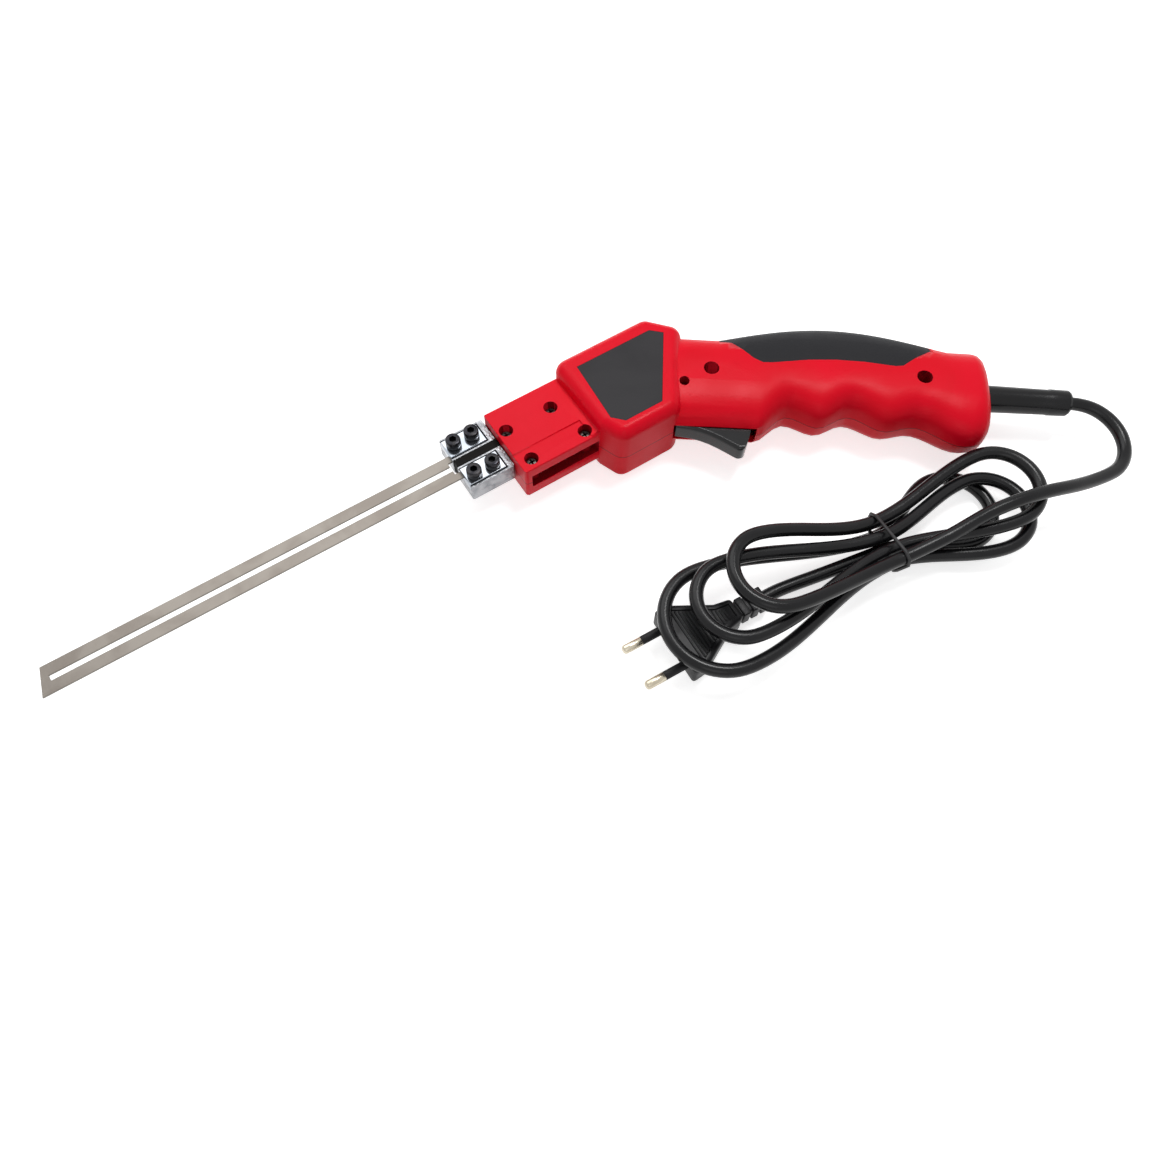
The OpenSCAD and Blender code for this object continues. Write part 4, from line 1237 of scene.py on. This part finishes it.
@dataclass
class Plug:
    """The moulded plug with its strain relief and pins.

    Attributes:
        end: where the cord enters.
        angle: direction of the pins in degrees.
        z: height of its axis.
        relief: length, half width and half height of the strain relief.
        ribs: number of blocks in the strain relief.
        rib_share: share of a block in its pitch.
        rib_round: rounding of a block.
        neck: start, half width and half height of the core inside the blocks.
        neck_round: rounding of the core.
        outline: place along the body and half width at it.
        half_t: half the body's thickness.
        edge: rounding of the body.
        sharp_angle: least bend of the body's edges that are rounded.
        flat_area: least area of the flat top and underside.
        grip: border, slope and depth of the sunk grip on both.
        rib_rows: number of finger ribs on a side.
        rib_pitch: distance from rib to rib.
        rib_start: distance of the first rib from the body's end.
        rib_margin: distance of a rib's ends from the body's sides.
        rib_half: half width and half height of a rib.
        rib_depth: depth of a rib's middle under the body's face.
        rib_edge: rounding of a rib.
        pin: radius and length of a pin.
        pin_y: distance of a pin from the middle.
        sleeved: share of the pin in its sleeve.
    """

    end: Flat = PLUG_END
    angle: float = 177.0
    z: float = PLUG_Z
    relief: Point = (14.0, 4.4, 4.2)
    ribs: int = 3
    rib_share: float = 0.74
    rib_round: float = 0.5
    neck: Point = (0.1, 3.7, 3.6)
    neck_round: float = 1.0
    outline: tuple[Flat, ...] = ((14, 5.1), (21.7, 6.4), (31, 11.5), (38.2, 15.4), (45, 16))
    half_t: float = 6.0
    edge: float = 1.6
    sharp_angle: float = 50.0
    flat_area: float = 100.0
    grip: Point = (0.9, 0.4, 0.7)
    rib_rows: int = 14
    rib_pitch: float = 1.5
    rib_start: float = 5.6
    rib_margin: float = 3.4
    rib_half: Flat = (0.42, 0.5)
    rib_depth: float = 0.75
    rib_edge: float = 0.25
    pin: Flat = (2.0, 19.0)
    pin_y: float = 9.0
    sleeved: float = 0.53

    def place(self) -> Matrix:
        """Gives the plug's own frame: along the pins, across them and up."""
        turn = Matrix.Rotation(math.radians(self.angle), 4, "Z")
        return Matrix.Translation((*self.end, self.z)) @ turn

    def half_width(self, x: float) -> float:
        """Half width of the body at a place along it."""
        for (x0, w0), (x1, w1) in zip(self.outline, self.outline[1:]):
            if x <= x1:
                return w0 + (w1 - w0) * max(0.0, (x - x0) / (x1 - x0))
        return self.outline[-1][1]

    def body(self) -> Piece:
        """Builds the flat body with a sunk, ribbed grip on both sides.

        Returns:
            The body.
        """
        bm = bmesh.new()
        rim = [(x, w) for x, w in self.outline] + [(x, -w) for x, w in reversed(self.outline)]
        face = bm.faces.new([bm.verts.new((x, y, -self.half_t)) for x, y in rim])
        up = bmesh.ops.extrude_face_region(bm, geom=[face])["geom"]
        raised = [item for item in up if isinstance(item, bmesh.types.BMVert)]
        bmesh.ops.translate(bm, vec=(0, 0, 2 * self.half_t), verts=raised)
        bmesh.ops.recalc_face_normals(bm, faces=bm.faces)
        soften(bm, sharp_edges(bm, self.sharp_angle), self.edge)
        flats = [face for face in bm.faces if abs(face.normal.z) > 0.99 and face.calc_area() > self.flat_area]
        border, slope, depth = self.grip
        bmesh.ops.inset_region(bm, faces=flats, thickness=border, depth=0.0)
        bmesh.ops.inset_region(bm, faces=flats, thickness=slope, depth=-depth)
        shapes = [bm]
        wide, tall = self.rib_half
        for row in range(self.rib_rows):
            x = self.outline[0][0] + self.rib_start + row * self.rib_pitch
            reach = self.half_width(x) - self.rib_margin
            for side in (-1, 1):
                z = side * (self.half_t - self.rib_depth)
                low, high = (x - wide, -reach, z - tall), (x + wide, reach, z + tall)
                shapes.append(block(low, high, self.rib_edge, 2))
        return self.moulded("plug_shell", shapes, "plug_body")

    def moulded(self, name: str, shapes: Sequence[Shape], node: str) -> Piece:
        """Puts shapes that are made in the plug's own frame in their place, as one piece.

        Args:
            name: the piece's name.
            shapes: its shapes, which are freed.
            node: the solid that it stands for.

        Returns:
            The piece.
        """
        made = join_shapes(shapes)
        bmesh.ops.transform(made, matrix=self.place(), verts=made.verts)
        return set_piece(new_piece(name, made, PLUG_BLACK), TOOL, "plug_black", node)

    def strain_relief(self) -> Piece:
        """Builds the row of blocks round the cord.

        Returns:
            The strain relief.
        """
        length, half_w, half_h = self.relief
        pitch = length / self.ribs
        start, neck_w, neck_h = self.neck
        shapes = [block((start, -neck_w, -neck_h), (length, neck_w, neck_h), self.neck_round)]
        for rib in range(self.ribs):
            x = rib * pitch
            end = x + self.rib_share * pitch
            shapes.append(block((x, -half_w, -half_h), (end, half_w, half_h), self.rib_round))
        return self.moulded("plug_strain_relief", shapes, "plug_relief")

    def pins(self) -> list[Piece]:
        """Builds the pins and their sleeves.

        Returns:
            The pins and the sleeves.
        """
        radius, length = self.pin
        cut = length * self.sleeved
        bare = [
            (0.0, 0.0), (0.7 * radius, 0.0), (0.7 * radius, cut), (0.93 * radius, cut), (radius, cut + 0.2),
            (radius, length - 1.2), (0.82 * radius, length - 0.4), (0.5 * radius, length), (0.0, length),
        ]
        bore, skin = 0.74 * radius, 0.97 * radius
        jacket = [
            (bore, 0.0), (skin, 0.0), (skin, cut - 0.2), (0.92 * radius, cut), (bore, cut), (bore, 0.0),
        ]
        face = self.outline[-1][0]
        made = []
        for name, profile, finish, node in (
            ("contact_pins", bare, PIN_METAL, "plug_pins"),
            ("pin_jackets", jacket, PLUG_BLACK, "pin_sleeves"),
        ):
            turned = []
            for side in (-1, 1):
                stand = self.place() @ along(Vector((face, side * self.pin_y, 0.0)), Vector((1, 0, 0)))
                turned.append(lathe(profile, stand, 32))
            made.append(set_piece(new_piece(name, join_shapes(turned), finish), TOOL, finish.name, node))
        return made

    def build(self) -> list[Piece]:
        """Builds the plug and returns its pieces."""
        return [self.body(), self.strain_relief()] + self.pins()


@dataclass
class MainsCord:
    """The sleeve, the cord in its tied hank, the tie and the plug.

    Attributes:
        route: the way the cord lies.
        plug: the plug.
        sleeve: distance along the handle and radius of each corner of the sleeve.
        sleeve_angle: sharpest bend of the sleeve that is shaded smooth.
        roundness: fineness of a wire's round section.
        tie_radius: radius of the tie's wire.
        tie_points: distance across the waist and height of the tie's corners.
        length: the cord's real length in metres; not used.
    """

    route: CordRoute
    plug: Plug
    sleeve: tuple[Flat, ...] = (
        (158.0, 3.05), (158.0, 7.4), (161.0, 7.4), (161.0, 6.2), (168.0, 6.2), (196.0, 5.75), (197.0, 6.0),
        (205.0, 5.9), (206.0, 5.3), (206.0, 3.05), (158.0, 3.05),
    )
    sleeve_angle: float = 30.0
    roundness: int = 5
    tie_radius: float = 0.8
    tie_points: tuple[Flat, ...] = (
        (-6.8, 1.5), (0.0, 1.4), (6.8, 1.5), (10.2, 3.4), (14.6, 10.6), (14.6, 13.6), (11.6, 16.2),
        (0.0, 18.2), (-9.6, 19.9), (-13.2, 18.8), (-14.2, 15.4), (-11.0, 5.6), (-9.6, 2.8),
    )
    length: float = 1.322

    def sleeve_piece(self) -> None:
        """Turns the sleeve."""
        place = along(in_handle(0.0, AXIS_V, MID_Z), in_handle(1.0, 0.0, 0.0))
        bm = lathe([(radius, u) for u, radius in self.sleeve], place)
        piece = new_piece("bend_sleeve", bm, CORD_BLACK, self.sleeve_angle)
        set_piece(piece, TOOL, "cord_black", "cord_sleeve")

    def curve(
        self, name: str, points: Sequence[Vector], radius: float, closed: bool, finish: Finish,
    ) -> Piece:
        """Makes a round wire along points.

        Args:
            name: its name.
            points: the points, in millimetres.
            radius: its radius.
            closed: whether it is a ring.
            finish: its finish.

        Returns:
            The wire, as a curve.
        """
        data = bpy.data.curves.new(name, "CURVE")
        data.dimensions = "3D"
        data.bevel_depth = radius * MM
        data.bevel_resolution = self.roundness
        data.use_fill_caps = not closed
        spline = data.splines.new("POLY")
        spline.points.add(len(points) - 1)
        for slot, point in zip(spline.points, points):
            slot.co = (point.x * MM, point.y * MM, point.z * MM, 1.0)
        spline.use_cyclic_u = closed
        spline.use_smooth = True
        data.materials.append(finish.material())
        return put(name, data)

    def tie(self) -> Piece:
        """Winds the tie round the waist.

        Returns:
            The tie.
        """
        ring = [self.route.hank_place((0.0, across, z)) for across, z in self.tie_points]
        wire = self.curve("wire_tie", ring, self.tie_radius, True, TIE_BLACK)
        return set_piece(wire, TOOL, "tie", "cord_tie")

    def build(self) -> None:
        """Builds the cord and what is on it."""
        self.sleeve_piece()
        points = self.route.smooth_points()
        cord = self.curve("mains_cord", points, self.route.diameter / 2, False, CORD_BLACK)
        set_piece(cord, TOOL, "cord_black", "cord_lead", "cord_hank")
        pieces = self.plug.build() + [self.tie()]
        measured = MM * sum((second - first).length for first, second in zip(points, points[1:]))
        LOG.info("mains cord measures %.3f m", measured)


@dataclass
class InnerWorks:
    """The solids inside the casing, which keep their shape and get their finish.

    Attributes:
        finishes: the finish of each solid.
    """

    finishes: tuple[tuple[str, Finish], ...] = (
        ("trigger_pin", SCREW_STEEL), ("switch_body", INNER_PLASTIC), ("switch_plunger", INNER_PLASTIC),
        ("switch_terminals", CONTACT_BRASS), ("transformer_core", CORE_IRON),
        ("coil_bobbin", BOBBIN_PLASTIC), ("primary_coil", COPPER), ("secondary_strap", COPPER),
        ("upper_bus_bar", COPPER), ("lower_bus_bar", COPPER), ("inner_cord", CORD_BLACK),
        ("cord_clamp", INNER_PLASTIC), ("cord_clamp_screws", SCREW_STEEL), ("mains_wires", WIRE_JACKET),
        ("coil_wires", WIRE_JACKET),
    )

    def build(self) -> None:
        """Gives each solid its finish."""
        for node, finish in self.finishes:
            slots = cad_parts[node].data.materials
            slots.clear()
            slots.append(finish.material())
            LOG.info("%s keeps its solid, finished as %s", node, finish.name)


@dataclass
class Studio:
    """The pale floor, the soft light and the camera.

    Attributes:
        camera_place: the camera's place in metres.
        camera_tilt: its tilt from straight down and its turn, in degrees.
        lens: its focal length.
        sensor: width of its sensor.
        near: distance in metres from which it sees.
        floor_size: width of the floor in metres.
        floor_drop: depth of the floor under the object in metres.
        floor_tone: grey of the floor.
        floor_rough: roughness of the floor.
        floor_glow: brightness that lifts the floor to white.
        world_light: brightness of the world as light and as background.
        lamps: name, place, size in metres and power of each lamp.
    """

    camera_place: Point = (-0.16646, -0.22269, 0.36143)
    camera_tilt: Flat = (27.1, -32.9)
    lens: float = 28.91
    sensor: float = 36.0
    near: float = 0.01
    floor_size: float = 6.0
    floor_drop: float = 0.0004
    floor_tone: float = 0.86
    floor_rough: float = 0.9
    floor_glow: float = 0.7
    world_light: Flat = (0.3, 1.0)
    lamps: tuple[tuple[str, Point, float, float], ...] = (
        ("overhead lamp", (0.28, 0.06, 0.91), 0.3, 3.6), ("back panel", (-0.1, 0.7, 0.85), 1.0, 4.6),
        ("front lamp", (-0.5, -0.8, 0.8), 0.6, 0.8),
    )

    def camera(self) -> None:
        """Sets the camera at the photographed angle."""
        data = bpy.data.cameras.new("view")
        data.lens = self.lens
        data.sensor_width = self.sensor
        data.clip_start = self.near
        made = put("view", data)
        made.location = self.camera_place
        tilt, turn = (math.radians(angle) for angle in self.camera_tilt)
        made.rotation_euler = (tilt, 0.0, turn)
        bpy.context.scene.camera = made

    def background_share(self, sheet: Sheet) -> Socket:
        """Picks the rays that see the background straight or in a mirror or glass.

        Args:
            sheet: the node sheet that it goes into.

        Returns:
            1 for those rays and 0 for the rest.
        """
        path = sheet.add("ShaderNodeLightPath")
        mirrored = sheet.value("MAXIMUM", path.outputs["Is Glossy Ray"], path.outputs["Is Transmission Ray"])
        return sheet.value("MAXIMUM", path.outputs["Is Camera Ray"], mirrored)

    def floor(self) -> None:
        """Lays the floor, which keeps the object's soft shadow."""
        bm = bmesh.new()
        bmesh.ops.create_grid(bm, x_segments=1, y_segments=1, size=self.floor_size / 2)
        mesh = bpy.data.meshes.new("floor")
        bm.to_mesh(mesh)
        bm.free()
        paper = bpy.data.materials.new("floor paper")
        paper.use_nodes = True
        sheet = Sheet(paper.node_tree)
        shader = paper.node_tree.nodes["Principled BSDF"]
        shader.inputs["Base Color"].default_value = (self.floor_tone, self.floor_tone, self.floor_tone, 1.0)
        shader.inputs["Roughness"].default_value = self.floor_rough
        shader.inputs["Emission Color"].default_value = WHITE
        glow = sheet.value("MULTIPLY", self.background_share(sheet), self.floor_glow)
        sheet.join(glow, shader.inputs["Emission Strength"])
        mesh.materials.append(paper)
        made = put("floor", mesh)
        made.location = (0.0, 0.0, -self.floor_drop)

    def light(self) -> None:
        """Sets the lamps and a white world."""
        for name, place, size, power in self.lamps:
            data = bpy.data.lights.new(name, "AREA")
            data.shape = "DISK"
            data.size = size
            data.energy = power
            made = put(name, data)
            made.location = place
            made.rotation_euler = (-Vector(place)).to_track_quat("-Z", "Y").to_euler()
        world = bpy.data.worlds.new("studio")
        world.use_nodes = True
        sheet = Sheet(world.node_tree)
        ground = world.node_tree.nodes["Background"]
        strength = sheet.between(self.background_share(sheet), 0.0, 1.0, self.world_light)
        ground.inputs["Color"].default_value = WHITE
        sheet.join(strength, ground.inputs["Strength"])
        bpy.context.scene.world = world

    def build(self) -> None:
        """Builds the studio."""
        bpy.context.scene.view_settings.view_transform = "Standard"
        self.camera()
        self.floor()
        self.light()


def main() -> None:
    """Builds the hot knife's looks in order."""
    logging.basicConfig(level=logging.INFO, format="%(name)s: %(message)s")
    Studio().build()
    MainsCord(CordRoute(), Plug()).build()
    Casing().build()
    Trigger().build()
    Clamps().build()
    InnerWorks().build()


if __name__ == "__main__":
    main()
